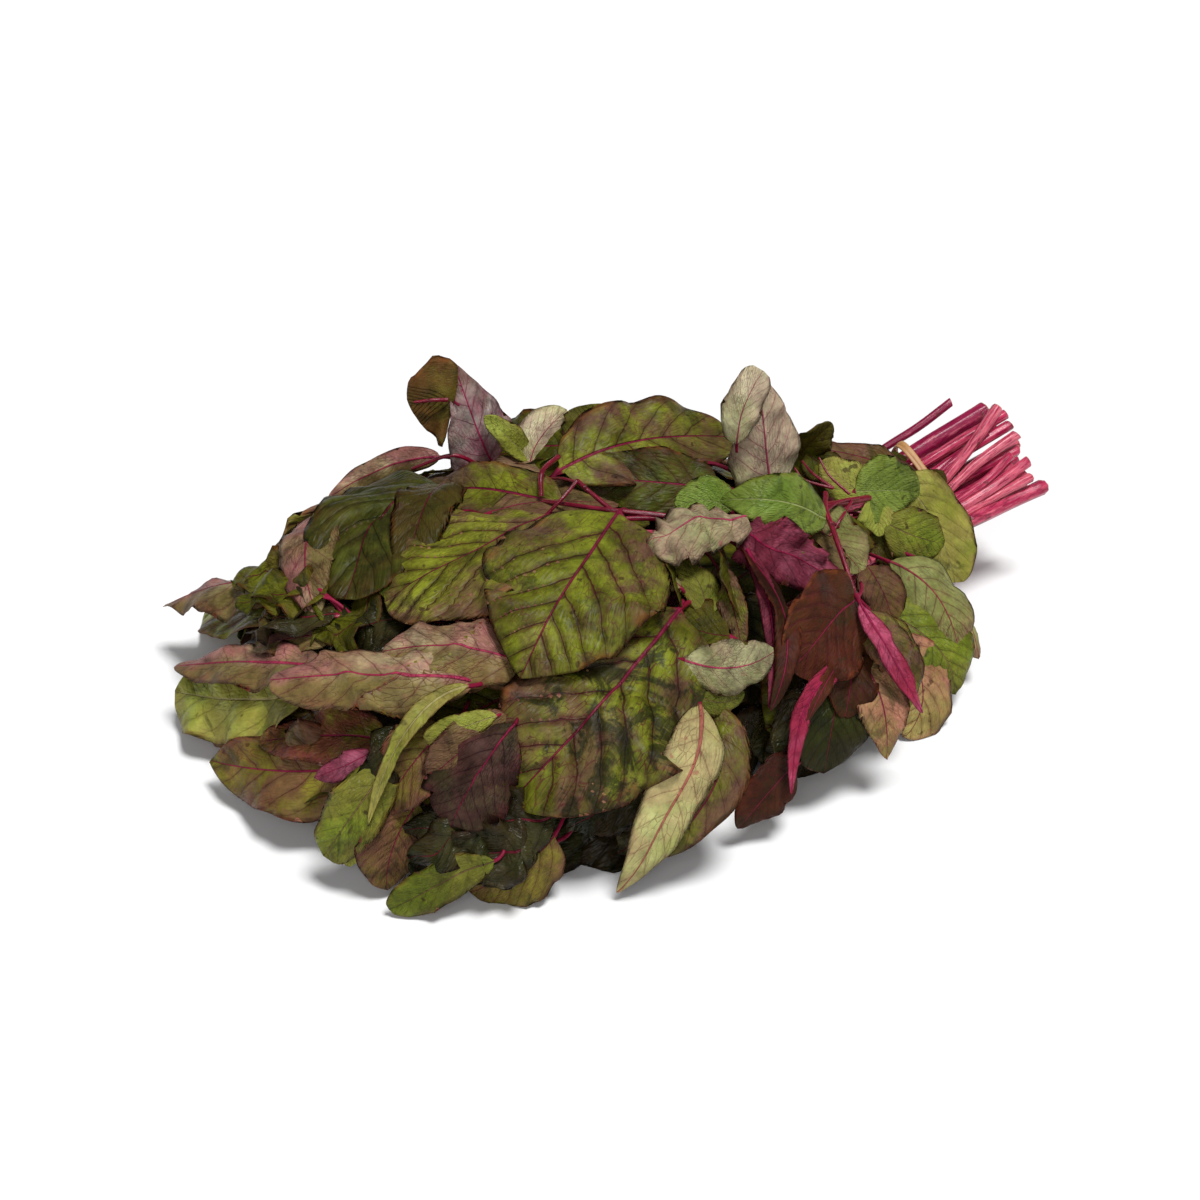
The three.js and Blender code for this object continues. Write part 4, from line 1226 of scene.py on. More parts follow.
# %% Leaves on top and on the right
FRONT = (0.1, -0.8, 0.45)
LEAVES = [
    ["centre_upper", (-4, -30, 112), (-46, -75, 111), (-76, -98, 88), 82, "olive",
     dict(curl=(-14, -20), ruffle=3.5, waves=2.6, ripple=1.6, shape=(0.45, 0.75), buckle=0.6, twist=0,
          relief=1.7)],
    ["centre_left", (-30, -10, 106), (-70, -24, 106), (-112, -22, 88), 84, "sunlit",
     dict(curl=(-14, -10), ruffle=3.5, waves=2.4, ripple=1.6, shape=(0.5, 0.5), buckle=0.6, twist=0, relief=1.7,
          roll=8)],
    ["centre_lower", (2, -85, 93), (-48, -119, 81), (-92, -127, 48), 88, "bruised",
     dict(curl=(-18, -24), ruffle=4.5, waves=2.4, ripple=1.8, shape=(0.42, 0.6), buckle=0.7, twist=0,
          relief=1.7, stalk=12, creases=[(0.36, 0.14, 5, 0.05), (0.62, -0.3, 3, 0.05)])],
    ["left_folded", (-60, 56, 90), (-90, 36, 98), (-128, -8, 84), 70, "shaded",
     dict(relief=0.4, face=(-0.3, -0.5, 0.8), fold=(24, -2), curl=(-10, -30), ruffle=6, waves=1.4, ripple=1.6,
          shape=(0.5, 0.5), twist=0, creases=[(0.55, 0.5, 4, 0.06)])],
    ["top_wide", (-8, 28, 104), (34, 32, 108), (88, 44, 91), 46, "olive",
     dict(face=(0, -0.7, 0.75), curl=(-22, 18), fold=(2, 6), ruffle=3.5, waves=3.2, ripple=1.5,
          shape=(0.45, 0.45), twist=0)],
    ["top_crest", (-21, 84, 74), (-33, 75, 106), (-45, 76, 143), 42, "crest",
     dict(face=(-0.35, 1, -0.1), curl=(20, 4), fold=(-4, 4), ruffle=1.5, shape=(0.3, 0.9), stalk=6, twist=0)],
    ["top_flap", (-46, 72, 125), (-56, 75, 126), (-66, 79, 124), 47, "tawny",
     dict(face=(0.1, -1, 0.1), curl=(8, -14), ruffle=3, waves=1.4, shape=(0.22, 0.6), stalk=3)],
    ["top_long", (-18, 4, 101), (-44, 37, 96), (-68, 84, 73), 29, "olive",
     dict(face=(-0.1, -0.6, 0.7), roll=-4, curl=(18, -14), ruffle=3, waves=1.6, ripple=1.5)],
    ["top_under", (62, 4, 92), (28, 12, 98), (-2, 34, 96), 34, "dusky",
     dict(face=(0.1, -0.7, 0.7), curl=(-12, 14), ruffle=2.5, waves=2.4)],
    ["upright_pale", (92, 8, 83), (88, 9, 109), (84, 12, 145), 38, "rosy",
     dict(face=(0.1, 0.95, -0.3), curl=(14, -8), fold=6, ruffle=2.5, waves=2.4, shape=(0.3, 0.8), twist=0,
          stalk=6)],
    ["upright_tip", (71, 4, 114), (74, 4, 132), (85, 7, 148), 20, "rosy",
     dict(roll=180, face=(-0.25, -1, 0.1), shape=(0.4, 0.3), curl=10, fold=6, stalk=4, twist=0)],
    ["fresh_front", (96, -43, 93), (68, -45, 109), (47, -30, 108), 28, "fresh",
     dict(face=(-0.1, -0.7, 0.6), curl=-12, sway=2, shape=(0.55, 0.9))],
    ["pale_curled", (54, -43, 105), (22, -56, 114), (-1, -53, 110), 28, "silver",
     dict(roll=180, curl=(30, 10), ruffle=4, waves=5, crumple=2.4, shape=(0.4, 0.4))],
    ["magenta_under", (51, -44, 98), (64, -68, 96), (88, -88, 78), 30, "magenta",
     dict(face=(-0.2, -0.8, 0.6), roll=180, ruffle=6, waves=5, curl=8, crumple=2.2, shape=(0.35, 0.7))],
    ["fresh_pair", (128, -12, 83), (143, -15, 82), (161, -16, 76), 34, "fresh",
     dict(face=FRONT, fold=(20, 6), curl=(-22, -14), shape=(0.5, 0.75), ruffle=3, waves=2.6)],
    ["right_big", (152, -12, 81), (168, -22, 62), (170, -42, 38), 39, "lime",
     dict(face=(-0.05, -0.8, 0.5), curl=(-14, -28), ruffle=2, ripple=0.8, waves=1.4, shape=(0.5, 0.5),
          twist=0)],
    ["right_brown", (172, 2, 70), (147, 10, 84), (118, 22, 91), 17, "brown",
     dict(face=(0.1, -0.5, 0.8), curl=(-30, 10), ruffle=2)],
    ["right_edge", (150, -36, 54), (165, -54, 40), (166, -76, 16), 30, "pale",
     dict(face=(0.6, -0.6, 0.4), roll=180, fold=14, curl=(30, 44), ruffle=3, waves=1.6, shape=(0.5, 0.5))],
    ["right_blister", (134, -40, 58), (147, -62, 50), (151, -80, 29), 40, "pale",
     dict(face=FRONT, roll=180, ruffle=3.5, waves=1.8, fold=(14, 8), curl=(52, 30), shape=(0.5, 0.45))],
    ["right_bright", (122, -58, 44), (140, -80, 32), (146, -90, 10), 40, "green",
     dict(face=FRONT, curl=-22, ruffle=2.5)],
    ["right_orange", (116, -72, 40), (128, -92, 22), (112, -101, 3), 36, "orange",
     dict(face=FRONT, curl=-12, shape=(0.6, 0.6))],
    ["pink_fold", (88, -94, 80), (88, -120, 70), (101, -134, 44), 11, "pink",
     dict(face=FRONT, roll=180, ruffle=1.5, sway=2)],
    ["red_brown", (90, -86, 78), (66, -104, 80), (44, -113, 70), 48, "red",
     dict(face=(-0.3, -0.8, 0.3), curl=14, ruffle=3, waves=2, shape=(0.4, 0.5), relief=0.6)],
    ["dark_hanging", (76, -103, 56), (61, -125, 48), (53, -134, 24), 38, "moss",
     dict(face=FRONT, curl=-10, shape=(0.6, 0.4), relief=0.3)],
    ["twisted", (-4, -124, 71), (-24, -153, 54), (-54, -152, 5), 28, "straw",
     dict(roll=180, ruffle=2.5, curl=16, shape=(0.5, 0.7))],
]
print(len(LEAVES), "leaves on top and on the right")

# %% [markdown]
# The left end is where the tips of the shoots hang down: long leaves that reach beyond the heap.

# %% Leaves at the left end
LEAVES += [
    ["long_pink", (-92, -85, 82), (-127, -70, 88), (-170, -38, 72), 34, "mauve",
     dict(roll=184, curl=(30, 20), fold=(3, 8), sway=3, ruffle=3, waves=2.4, ripple=1.8, shape=(0.5, 0.45),
          stalk=6, twist=0, creases=[(0.42, 0.2, 2.5, 0.04), (0.66, -0.15, 2.5, 0.04)])],
    # This leaf takes the bright lime look as painted light: it lifts a leaf that lies in shade.
    ["left_green", (-154, -34, 58), (-176, 0, 38), (-199, 42, 18), 44, "lime",
     dict(face=(-0.3, -0.5, 0.8), roll=-4, curl=(-14, -24), ruffle=6, waves=2.8, ripple=1.6, shape=(0.5, 0.35),
          twist=0)],
    ["left_brown", (-140, -76, 46), (-168, -54, 32), (-196, -12, 14), 44, "brown",
     dict(face=(-0.3, -0.5, 0.8), curl=(-24, 10), fold=(6, 6), ruffle=4.5, waves=2.2, ripple=1.5,
          shape=(0.55, 0.8), twist=0)],
    ["low_green", (-134, -94, 58), (-151, -102, 44), (-167, -98, 19), 27, "green",
     dict(face=(-0.4, -0.7, 0.5), curl=-22, fold=10, ruffle=2, shape=(0.5, 0.35), stalk=6)],
    ["mauve_dark", (-84, -112, 76), (-106, -122, 62), (-118, -124, 42), 42, "plum",
     dict(face=(-0.3, -0.75, 0.55), roll=180, curl=(30, 14), fold=(12, 6), ruffle=4, waves=2.4, ripple=0.7,
          shape=(0.6, 0.35), stalk=4, twist=0, creases=[(0.5, -0.3, 4, 0.06)])],
    ["bottom_green", (-104, -138, 28), (-126, -132, 18), (-147, -124, 4), 19, "green",
     dict(face=(-0.2, -0.8, 0.5), fold=14, curl=-24, shape=(0.5, 0.4), ruffle=1.5, stalk=8)],
    ["far_left", (-142, 31, 70), (-164, 66, 54), (-191, 100, 26), 40, "mauve",
     dict(roll=186, curl=20, fold=6, ruffle=4, waves=2.4, ripple=1.6, shape=(0.5, 0.9), twist=0)],
]
print(len(LEAVES), "leaves with those at the left end")

# %% [markdown]
# The back, the inside and the underside show only when the bunch is turned. The leaves there are laid on the
# heap's skin, and five lie flat on the table, where they carry the bunch.

# %% Leaves at the back, inside and underneath, and every row made
LEAVES += [
    ["back_top", skin(130, 30), skin(88, 42, 8), skin(40, 50), 60, "olive", dict(curl=-20)],
    ["back_upper", skin(48, 34), skin(4, 42, 8), skin(-45, 48), 70, "olive", dict(curl=-20, ruffle=2)],
    ["back_left", skin(-52, 34), skin(-98, 42, 8), skin(-145, 48), 64, "brown", dict(curl=-18, ruffle=2)],
    ["back_right", skin(130, 68), skin(98, 80, 6), skin(60, 88), 56, "fresh", dict(curl=-16)],
    ["back_middle", skin(75, 68), skin(32, 76, 10), skin(-10, 86), 66, "olive", dict(curl=-20, ruffle=2)],
    ["back_lower", skin(0, 70), skin(-45, 78, 8), skin(-90, 88), 66, "dark", dict(curl=-20, ruffle=2)],
    ["back_end", skin(-78, 66), skin(-112, 74, 6), skin(-146, 88), 50, "olive", dict(curl=-16, ruffle=2)],
    ["inner_right", skin(125, -45, -6), skin(82, -54, -2), skin(35, -62, -8), 74, "dark", dict(curl=-20)],
    ["inner_middle", skin(95, -8, -12), skin(52, -18, -10), skin(5, -30, -14), 66, "dark", dict(curl=-20)],
    ["inner_left", skin(-70, -36, -10), skin(-106, -42, -8), skin(-142, -52, -12), 66, "dark",
     dict(curl=-20)],
    ["under_right", (150, -35, 0), (105, -60, 0), (60, -85, 0), 56, "olive", dict(face=(0, 0, 1), curl=0)],
    ["under_neck", (150, 35, 0), (110, 60, 0), (65, 80, 0), 56, "olive", dict(face=(0, 0, 1), curl=0)],
    ["under_front", (0, -60, 0), (-45, -80, 0), (-90, -100, 0), 60, "dark", dict(face=(0, 0, 1), curl=0)],
    ["under_back", (-5, 55, 0), (-50, 70, 0), (-100, 80, 0), 62, "olive", dict(face=(0, 0, 1), curl=0)],
    ["under_left", (-75, -10, 0), (-125, -12, 0), (-175, -5, 0), 60, "brown",
     dict(face=(0, 0, 1), curl=0)],
]
for seed, (name, base, middle, tip, width, look, shape) in enumerate(LEAVES):
    piece = make_leaf("veined_" + name, base, middle, tip, width, look, seed, **shape)
    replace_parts(piece, "leaf_" + name)
print(len(LEAVES), "leaves; the last one has", len(piece.data.polygons), "faces")

# %% [markdown]
# ## Bare stalks
# On top of the heap some stalks lie bare where their blades hang away from them. They are thin stems without
# much of a rib, and they show how the leaves are joined to the shoots.

# %% Stalks that show between the leaves: the way they run, and how thick they are at each end
STALKS = [
    [[(100, -34, 92), (62, -41, 100), (33, -39, 106), (13, -31, 109), (-7, -20, 110), (-21, -4, 107),
      (-27, 15, 99)], 3.6, 1.8],
    [[(-2, -25, 109), (-8, -12, 113), (-12, -2, 116)], 2.4, 2.0],
    [[(-12, -2, 116), (-22, -8, 112), (-31, -9, 105)], 2.0, 1.5],
    [[(-26, 8, 105), (-22, 17, 112), (-9, 30, 110)], 2.0, 2.8],
    [[(-12, -2, 115), (-15, 10, 111), (-17, 22, 104)], 1.5, 1.3],
    [[(15, -32, 107), (-2, -30, 109), (-12, -36, 108)], 2.4, 2.6],
    [[(-34, 70, 88), (-48, 72, 96), (-66, 80, 88)], 2.2, 1.6],
    [[(106, -22, 93), (98, -38, 95), (94, -56, 92), (90, -84, 80)], 2.8, 2.2],
    [[(150, -8, 74), (120, -20, 84), (98, -30, 92), (84, -36, 92)], 3.4, 2.6],
    [[(118, -26, 88), (106, -38, 88), (96, -44, 82)], 1.8, 1.2],
    [[(112, -18, 92), (106, -8, 96), (104, 0, 99)], 1.8, 1.0],
    [[(112, -18, 92), (100, -12, 96), (97, -6, 100)], 1.6, 0.9],
    [[(120, -20, 88), (114, -10, 94), (112, -2, 100)], 1.5, 0.9],
    [[(-49, 70, 128), (-57, 71, 129), (-65, 74, 128)], 2.0, 1.0],
    [[(16, -74, 90), (6, -82, 93), (-2, -88, 92)], 2.6, 2.4],
    [[(124, -22, 86), (108, -30, 92), (94, -40, 94)], 2.0, 1.8],
]
for seed, (points, thick, thin) in enumerate(STALKS, 560):
    path = smooth_path(points, 8 * len(points))
    name = f"bare_stalk_{seed - 559}"
    make_stem(name, path, thick / 2, thin / 2, seed, "stalk", sides=12, ribs=5, depth=0.03)
print(len(STALKS), "bare stalks")

# %% [markdown]
# ## The smaller leaves
# Between the big blades show dozens of smaller ones: folded over, wilted, rolled so that only a pink edge
# shows. They lie in the space between the solids, so they replace none of them.

# %% Smaller leaves on top and on the right
SMALL = [
    ["left_lobe", (-62, 42, 100), (-78, 18, 106), (-98, -10, 93), 30, "dim",
     dict(relief=0.3, curl=(-30, 24), fold=(-6, 16), ruffle=1.5, shape=(0.4, 0.5), roll=16, twist=0)],
    ["top_back_small", (18, 56, 90), (22, 66, 100), (24, 72, 109), 32, "green",
     dict(face=(0, -0.9, 0.5), curl=-16, shape=(0.5, 0.4))],
    ["top_pair", (-12, 64, 86), (-2, 68, 98), (12, 73, 108), 26, "rosy",
     dict(face=(-0.1, 1, -0.4), fold=10, curl=(8, 26), shape=(0.5, 0.5))],
    ["pair_front", (-10, 66, 88), (-20, 70, 102), (-30, 74, 113), 14, "lime",
     dict(face=(0.2, -0.9, 0.4), fold=16, curl=6)],
    ["top_mid", (10, 58, 96), (-12, 76, 88), (-34, 92, 72), 44, "dark",
     dict(face=(-0.1, -0.5, 0.8), curl=-12, ruffle=2)],
    ["fresh_small", (53, -29, 100), (43, -25, 106), (28, -23, 104), 22, "fresh",
     dict(face=(-0.2, -0.8, 0.5), shape=(0.5, 0.6))],
    ["pair_left", (136, -14, 78), (124, -9, 87), (114, -1, 97), 24, "lime",
     dict(face=(-0.2, -0.8, 0.6), curl=-18, fold=10, shape=(0.5, 0.6))],
    ["pair_right", (133, -15, 79), (136, -20, 72), (134, -26, 64), 24, "lime",
     dict(face=FRONT, fold=8, curl=-10, shape=(0.5, 0.8))],
    ["right_green", (140, -22, 68), (155, -28, 60), (171, -28, 52), 28, "green",
     dict(face=FRONT, fold=10, curl=-14, shape=(0.5, 0.7))],
    ["right_patch", (135, -14, 68), (148, -24, 58), (152, -38, 44), 36, "dark",
     dict(face=FRONT, curl=-14)],
    ["neck_dark", (171, -5, 73), (177, -5, 74), (183, -5, 71), 11, "dark", dict(face=FRONT, stalk=4)],
    ["neck_top", (157, 12, 78), (163, 13, 79), (170, 13, 78), 9, "dark",
     dict(face=(0, -0.6, 0.8), stalk=4)],
    ["right_tan", (84, -104, 60), (84, -128, 48), (85, -134, 22), 26, "orange",
     dict(face=FRONT, shape=(0.35, 0.8), roll=20)],
    ["pink_partner", (91, -90, 73), (95, -111, 66), (101, -117, 48), 24, "pale", dict(face=FRONT)],
    ["orange_pink", (74, -112, 62), (46, -130, 60), (31, -146, 28), 10, "pink",
     dict(face=FRONT, roll=180, ruffle=1, sway=-2)],
    ["orange_edge", (79, -104, 66), (60, -120, 66), (42, -134, 54), 8, "red", dict(face=FRONT)],
    ["pink_edge", (47, -54, 96), (44, -101, 88), (28, -128, 62), 13, "red",
     dict(face=FRONT, roll=-30, twist=60, ruffle=2, sway=-3)],
    ["pink_edge_back", (50, -52, 95), (46, -98, 86), (28, -126, 62), 9, "magenta",
     dict(face=(-0.3, -0.8, 0.3), roll=180, sway=-4, ruffle=1)],
    ["olive_strip", (32, -60, 94), (28, -86, 90), (26, -100, 77), 13, "olive", dict(face=FRONT, roll=35)],
    ["dark_red", (23, -53, 90), (15, -78, 88), (24, -94, 74), 18, "red", dict(face=FRONT)],
    ["dark_red_low", (12, -60, 84), (6, -84, 84), (10, -100, 76), 14, "magenta",
     dict(face=FRONT, roll=150)],
    ["pale_right", (-5, -110, 86), (15, -120, 84), (39, -109, 79), 24, "silver",
     dict(roll=180, curl=10, face=FRONT, ruffle=1.5)],
    ["yellow_under", (-4, -116, 74), (5, -125, 71), (20, -118, 68), 12, "green", dict(face=FRONT)],
    ["twist_back", (0, -121, 67), (-7, -149, 50), (-36, -150, 18), 26, "olive", dict(roll=20, curl=-12)],
    ["wilted_dark", (-20, -130, 55), (-45, -135, 45), (-70, -135, 30), 30, "wilted",
     dict(ruffle=4, waves=4, crumple=4)],
    ["wilted_front", (0, -118, 50), (-22, -134, 38), (-48, -138, 14), 34, "wilted",
     dict(ruffle=4, waves=4, crumple=4)],
    ["brown_triangle", (39, -133, 32), (22, -140, 28), (8, -141, 12), 26, "red", dict(face=FRONT)],
    ["grey_crumple", (77, -96, 51), (50, -117, 46), (30, -131, 30), 28, "wilted",
     dict(face=FRONT, crumple=3, ruffle=3)],
    ["upper_pink", (-66, -86, 84), (-96, -76, 92), (-124, -56, 86), 34, "mauve",
     dict(roll=180, sway=-3, curl=(26, 18), fold=(2, 8), ruffle=3, ripple=1.8, shape=(0.45, 0.45), stalk=6,
          twist=0, creases=[(0.5, 0.2, 2.5, 0.05)])],
    ["pink_bit", (-58, -80, 86), (-74, -82, 86), (-90, -78, 80), 30, "mauve", dict(roll=180, curl=14)],
]
print(len(SMALL), "smaller leaves on top and on the right")

# %% [markdown]
# At the left end the leaves are limp, and most of the small ones are wilted to scraps, which a crumple of a
# few millimetres bends out of shape.

# %% Smaller leaves at the left end
SMALL += [
    ["left_mauve", (-148, -36, 72), (-172, 2, 54), (-197, 44, 30), 26, "mauve",
     dict(roll=186, ruffle=3, curl=10, waves=2.5, ripple=1.6, twist=0)],
    ["left_pink_strip", (-132, -80, 58), (-153, -54, 48), (-176, -30, 33), 28, "mauve",
     dict(roll=14, curl=(-20, 20), ruffle=3.5)],
    ["magenta_patch", (-140, -87, 59), (-152, -83, 52), (-163, -76, 44), 13, "magenta",
     dict(roll=186, curl=16, ruffle=2, stalk=4)],
    ["yellow_strip", (-98, -92, 86), (-128, -98, 79), (-150, -112, 42), 9, "lime",
     dict(face=FRONT, roll=35, curl=20, sway=-3, stalk=14)],
    ["brown_olive", (-108, -94, 66), (-127, -102, 58), (-142, -102, 38), 34, "brown",
     dict(face=(-0.3, -0.7, 0.6), curl=16, ruffle=2)],
    ["olive_over", (-84, -106, 74), (-106, -110, 68), (-121, -108, 56), 24, "olive",
     dict(face=FRONT, curl=-14, crumple=0.8, ruffle=2)],
    ["green_bit", (-90, -106, 78), (-106, -106, 77), (-120, -102, 70), 13, "lime",
     dict(face=FRONT, curl=-22, shape=(0.5, 0.35), stalk=4)],
    ["low_wilt", (-124, -88, 66), (-138, -95, 60), (-152, -96, 46), 20, "wilted",
     dict(face=FRONT, crumple=2.5, ruffle=3)],
    ["low_brown", (-126, -104, 40), (-139, -112, 26), (-144, -114, 5), 34, "brown",
     dict(face=FRONT, curl=-14, ruffle=1.5)],
    ["low_yellow", (-144, -98, 28), (-152, -100, 20), (-156, -99, 10), 14, "lime", dict(face=FRONT)],
    ["crumple", (-74, -133, 40), (-104, -130, 38), (-136, -118, 24), 32, "wilted",
     dict(face=FRONT, ruffle=5, waves=4, crumple=2.6)],
    ["bottom_tan", (-76, -135, 30), (-92, -137, 20), (-112, -128, 5), 36, "brown",
     dict(face=FRONT, shape=(0.5, 0.5), curl=-12)],
    ["wilt_green", (-136, 6, 84), (-150, 34, 78), (-164, 58, 62), 34, "dark",
     dict(ruffle=5, waves=3, crumple=3)],
    ["wilt_fresh", (-134, -2, 84), (-148, 14, 81), (-166, 34, 66), 28, "dark",
     dict(ruffle=4, waves=3, crumple=3.5)],
    ["wilt_brown", (-132, -10, 78), (-150, 2, 74), (-168, 22, 56), 28, "wilted",
     dict(ruffle=5, waves=3, crumple=4)],
    ["wilt_mid", (-105, -30, 82), (-125, -22, 80), (-142, -6, 72), 34, "wilted",
     dict(ruffle=5, waves=3, crumple=4)],
    ["wilt_low", (-114, -8, 86), (-130, -16, 79), (-148, -20, 68), 30, "dark",
     dict(ruffle=5, waves=3, crumple=4)],
    ["mauve_hang", (-118, 52, 92), (-134, 26, 90), (-140, -8, 78), 30, "mauve",
     dict(roll=176, ruffle=2.5, curl=12, twist=0)],
    ["mauve_top_left", (-46, 98, 80), (-74, 100, 79), (-104, 98, 70), 14, "mauve",
     dict(face=(0.1, 0.9, -0.5), ruffle=3, waves=3, curl=12, twist=0)],
]
print(len(SMALL), "smaller leaves with those at the left end")

# %% [markdown]
# Between the big blades the heap would show gaps, so shaded leaves lie behind them, most in the dark look, which
# paints them darker as painted shade, and a few more edges show.

# %% Smaller leaves in the gaps, and every row made
SMALL += [
    ["light_patch", (-84, -12, 95), (-99, -14, 94), (-112, -11, 88), 24, "green",
     dict(crumple=1, ruffle=1.5)],
    ["green_behind", (-60, 24, 95), (-78, 14, 96), (-98, 2, 90), 36, "olive", dict(curl=-20)],
    ["tan_right", (120, -42, 60), (122, -56, 54), (124, -66, 38), 24, "brown", dict(face=FRONT)],
    ["mauve_green", (85, -35, 85), (88, -58, 80), (98, -68, 68), 28, "mauve", dict(face=FRONT, roll=180)],
    ["red_brown_low", (88, -92, 70), (74, -116, 60), (66, -126, 46), 26, "red",
     dict(face=FRONT, curl=10, ruffle=2)],
    ["green_right", (100, -84, 66), (104, -106, 54), (104, -118, 34), 24, "olive",
     dict(face=FRONT, curl=-10)],
    ["left_under_top", (66, 26, 92), (40, 40, 92), (10, 60, 88), 40, "dark", dict(curl=-12)],
    ["lilac_edge", (-46, 78, 84), (-60, 92, 76), (-76, 98, 72), 14, "pale", dict(roll=190, ruffle=1.5)],
    ["wilt_curl", (-146, 12, 68), (-158, 12, 63), (-166, 8, 56), 12, "brown", dict(ruffle=3, crumple=2)],
    ["mauve_end", (-134, -16, 72), (-152, -4, 66), (-166, 8, 56), 22, "mauve", dict(roll=180, ruffle=2)],
    ["crumple_low", (-80, -135, 28), (-110, -131, 30), (-134, -119, 14), 30, "wilted",
     dict(face=FRONT, ruffle=4, waves=5, crumple=3)],
    ["crumple_top", (-92, -122, 40), (-117, -119, 36), (-136, -108, 32), 16, "wilted",
     dict(face=FRONT, ruffle=3, waves=3, crumple=2)],
    ["stalk_backing", (92, -28, 86), (100, -46, 82), (106, -62, 74), 34, "pale",
     dict(face=FRONT, roll=180, ruffle=2)],
    ["stalk_shade", (120, -16, 76), (112, -34, 76), (110, -50, 66), 36, "dark", dict(face=FRONT)],
    ["neck_fold", (112, 22, 86), (118, 14, 100), (126, 12, 108), 20, "dark",
     dict(face=(0.2, -0.8, 0.5), fold=24, curl=-20)],
    ["neck_hang", (116, 18, 90), (122, 10, 86), (130, 2, 82), 22, "dark", dict(face=(0.2, -0.8, 0.5))],
    ["pale_mid", (8, -74, 98), (0, -62, 104), (-8, -46, 106), 22, "pale",
     dict(roll=190, curl=14, ruffle=1.5, stalk=4)],
    ["pale_mid_low", (16, -84, 88), (18, -70, 96), (12, -56, 102), 20, "green",
     dict(face=FRONT, curl=-10)],
    ["shade_mid", (22, -96, 82), (10, -90, 86), (-4, -80, 88), 34, "dark", dict(curl=-10)],
    ["shade_top_a", (-40, 0, 100), (-12, -16, 102), (14, -24, 100), 26, "dark", dict(curl=-10)],
    ["shade_top_b", (-48, 14, 98), (-22, 6, 102), (6, -8, 102), 30, "olive", dict(curl=-10)],
    ["neck_fill", (123, 10, 66), (118, 17, 84), (116, 23, 98), 34, "dark",
     dict(face=FRONT, curl=-12, stalk=4)],
    ["end_rear", (-152, -15, 45), (-168, 20, 25), (-186, 60, 3), 40, "olive",
     dict(face=(-0.3, 0, 1), curl=-10, ruffle=2, stalk=4)],
    ["end_low", (-156, -30, 38), (-172, 8, 20), (-184, 44, 3), 40, "brown",
     dict(face=(-0.3, 0, 1), curl=-10, ruffle=2, stalk=4)],
    ["end_far", (-141, 37, 52), (-155, 84, 28), (-166, 122, 3), 46, "olive",
     dict(face=(-0.3, 0.2, 1), curl=-12, ruffle=2, stalk=4)],
    ["end_mid", (-133, -3, 55), (-144, 31, 38), (-150, 68, 15), 46, "dark",
     dict(face=(-0.3, 0, 1), curl=-10, ruffle=2, stalk=4)],
    ["end_front", (-143, -79, 42), (-158, -40, 20), (-176, -6, 3), 44, "dark",
     dict(face=(-0.3, 0, 1), curl=-10, ruffle=2, stalk=4)],
    ["end_side", (-136, -60, 50), (-160, -30, 32), (-180, 4, 12), 44, "dark",
     dict(face=(-0.5, 0, 1), curl=-10, ruffle=2, stalk=4)],
    ["shade_tunnel", (28, -34, 88), (14, -58, 97), (4, -84, 95), 30, "dark",
     dict(face=(1, -0.2, 0.3), curl=-12, stalk=6)],
    ["shade_tunnel_low", (44, -48, 84), (34, -70, 92), (30, -92, 84), 30, "dark",
     dict(face=(1, -0.2, 0.3), curl=-12, stalk=6)],
]
for seed, (name, base, middle, tip, width, look, shape) in enumerate(SMALL, 100):
    make_leaf("small_" + name, base, middle, tip, width, look, seed, **shape)
print(len(SMALL), "smaller leaves")

# %% [markdown]
# ## Leaves that fill the heap
# Behind what shows lie layers of shaded leaves, and the back of the heap is thatched with them too. Placing
# each by hand would teach nothing, so rows of them run round the heap's skin, each laid like a tile with its
# tip over the next one's base, and a seeded generator varies their place, width, turn and look.

# %% Laying leaves like tiles
HEAP_END = -158
TURNED_OVER = ("mauve", "pale", "pink")  # looks whose underside shows


def tile(x, around, run, drop, lift):
    """Base, middle and tip of a leaf on the heap's skin: it runs towards the tips and drops round the heap."""
    end = max(x - run, HEAP_END)
    base, tip = skin(x, around, lift - 8), skin(end, around + drop, lift)
    return base, skin((x + end) / 2, around + drop / 2, lift + 5), tip


def thatch(name, rows, columns, lift, widths, looks, seed, fineness):
    """Leaves in rows round the heap and columns along it, each moved a little by chance."""
    rng = np.random.default_rng(seed)
    count = 0
    for around in rows:
        for x in columns:
            run, drop = rng.uniform(58, 88), rng.uniform(-6, 20) * np.sign(around)
            start = x + rng.uniform(-12, 12), around + rng.uniform(-7, 7)
            points = tile(*start, run, drop, lift + rng.uniform(-3, 3))
            look, turn = looks[rng.integers(len(looks))], rng.uniform(-22, 22)
            shape = dict(roll=turn + 180 * (look in TURNED_OVER), curl=rng.uniform(-26, -8),
                         ruffle=rng.uniform(0, 3), shape=rng.uniform((0.42, 0.5), (0.6, 0.75)),
                         fineness=fineness)
            make_leaf(f"{name}_{count + 1}", *points, rng.uniform(*widths), look, seed + count, **shape)
            count += 1
    print(count, "leaves in", name)


INNER_ROWS, INNER_COLUMNS = (-66, -44, -22, 0, 22, 44, 66), (128, 86, 44, 2, -40, -78)
BACK_ROWS, BACK_COLUMNS = (26, 46, 66, 84), (132, 98, 62, 26, -10, -46, -78, -104)
BACK_LOOKS = ["olive"] * 4 + ["brown", "mauve", "fresh", "dark", "pale"]
# The inner rows all take the near-black wilted look, which paints the shade deep inside the heap.
thatch("inner", INNER_ROWS, INNER_COLUMNS, -24, (56, 74), ["wilted"], 200, 0.6)
thatch("back", BACK_ROWS, BACK_COLUMNS, 2, (42, 68), BACK_LOOKS, 300, 0.8)

# %% [markdown]
# ## Floor, light and camera
# The bunch lies on a pale sheet, wide enough to fill the view. It belongs to the stage and not to the bunch.

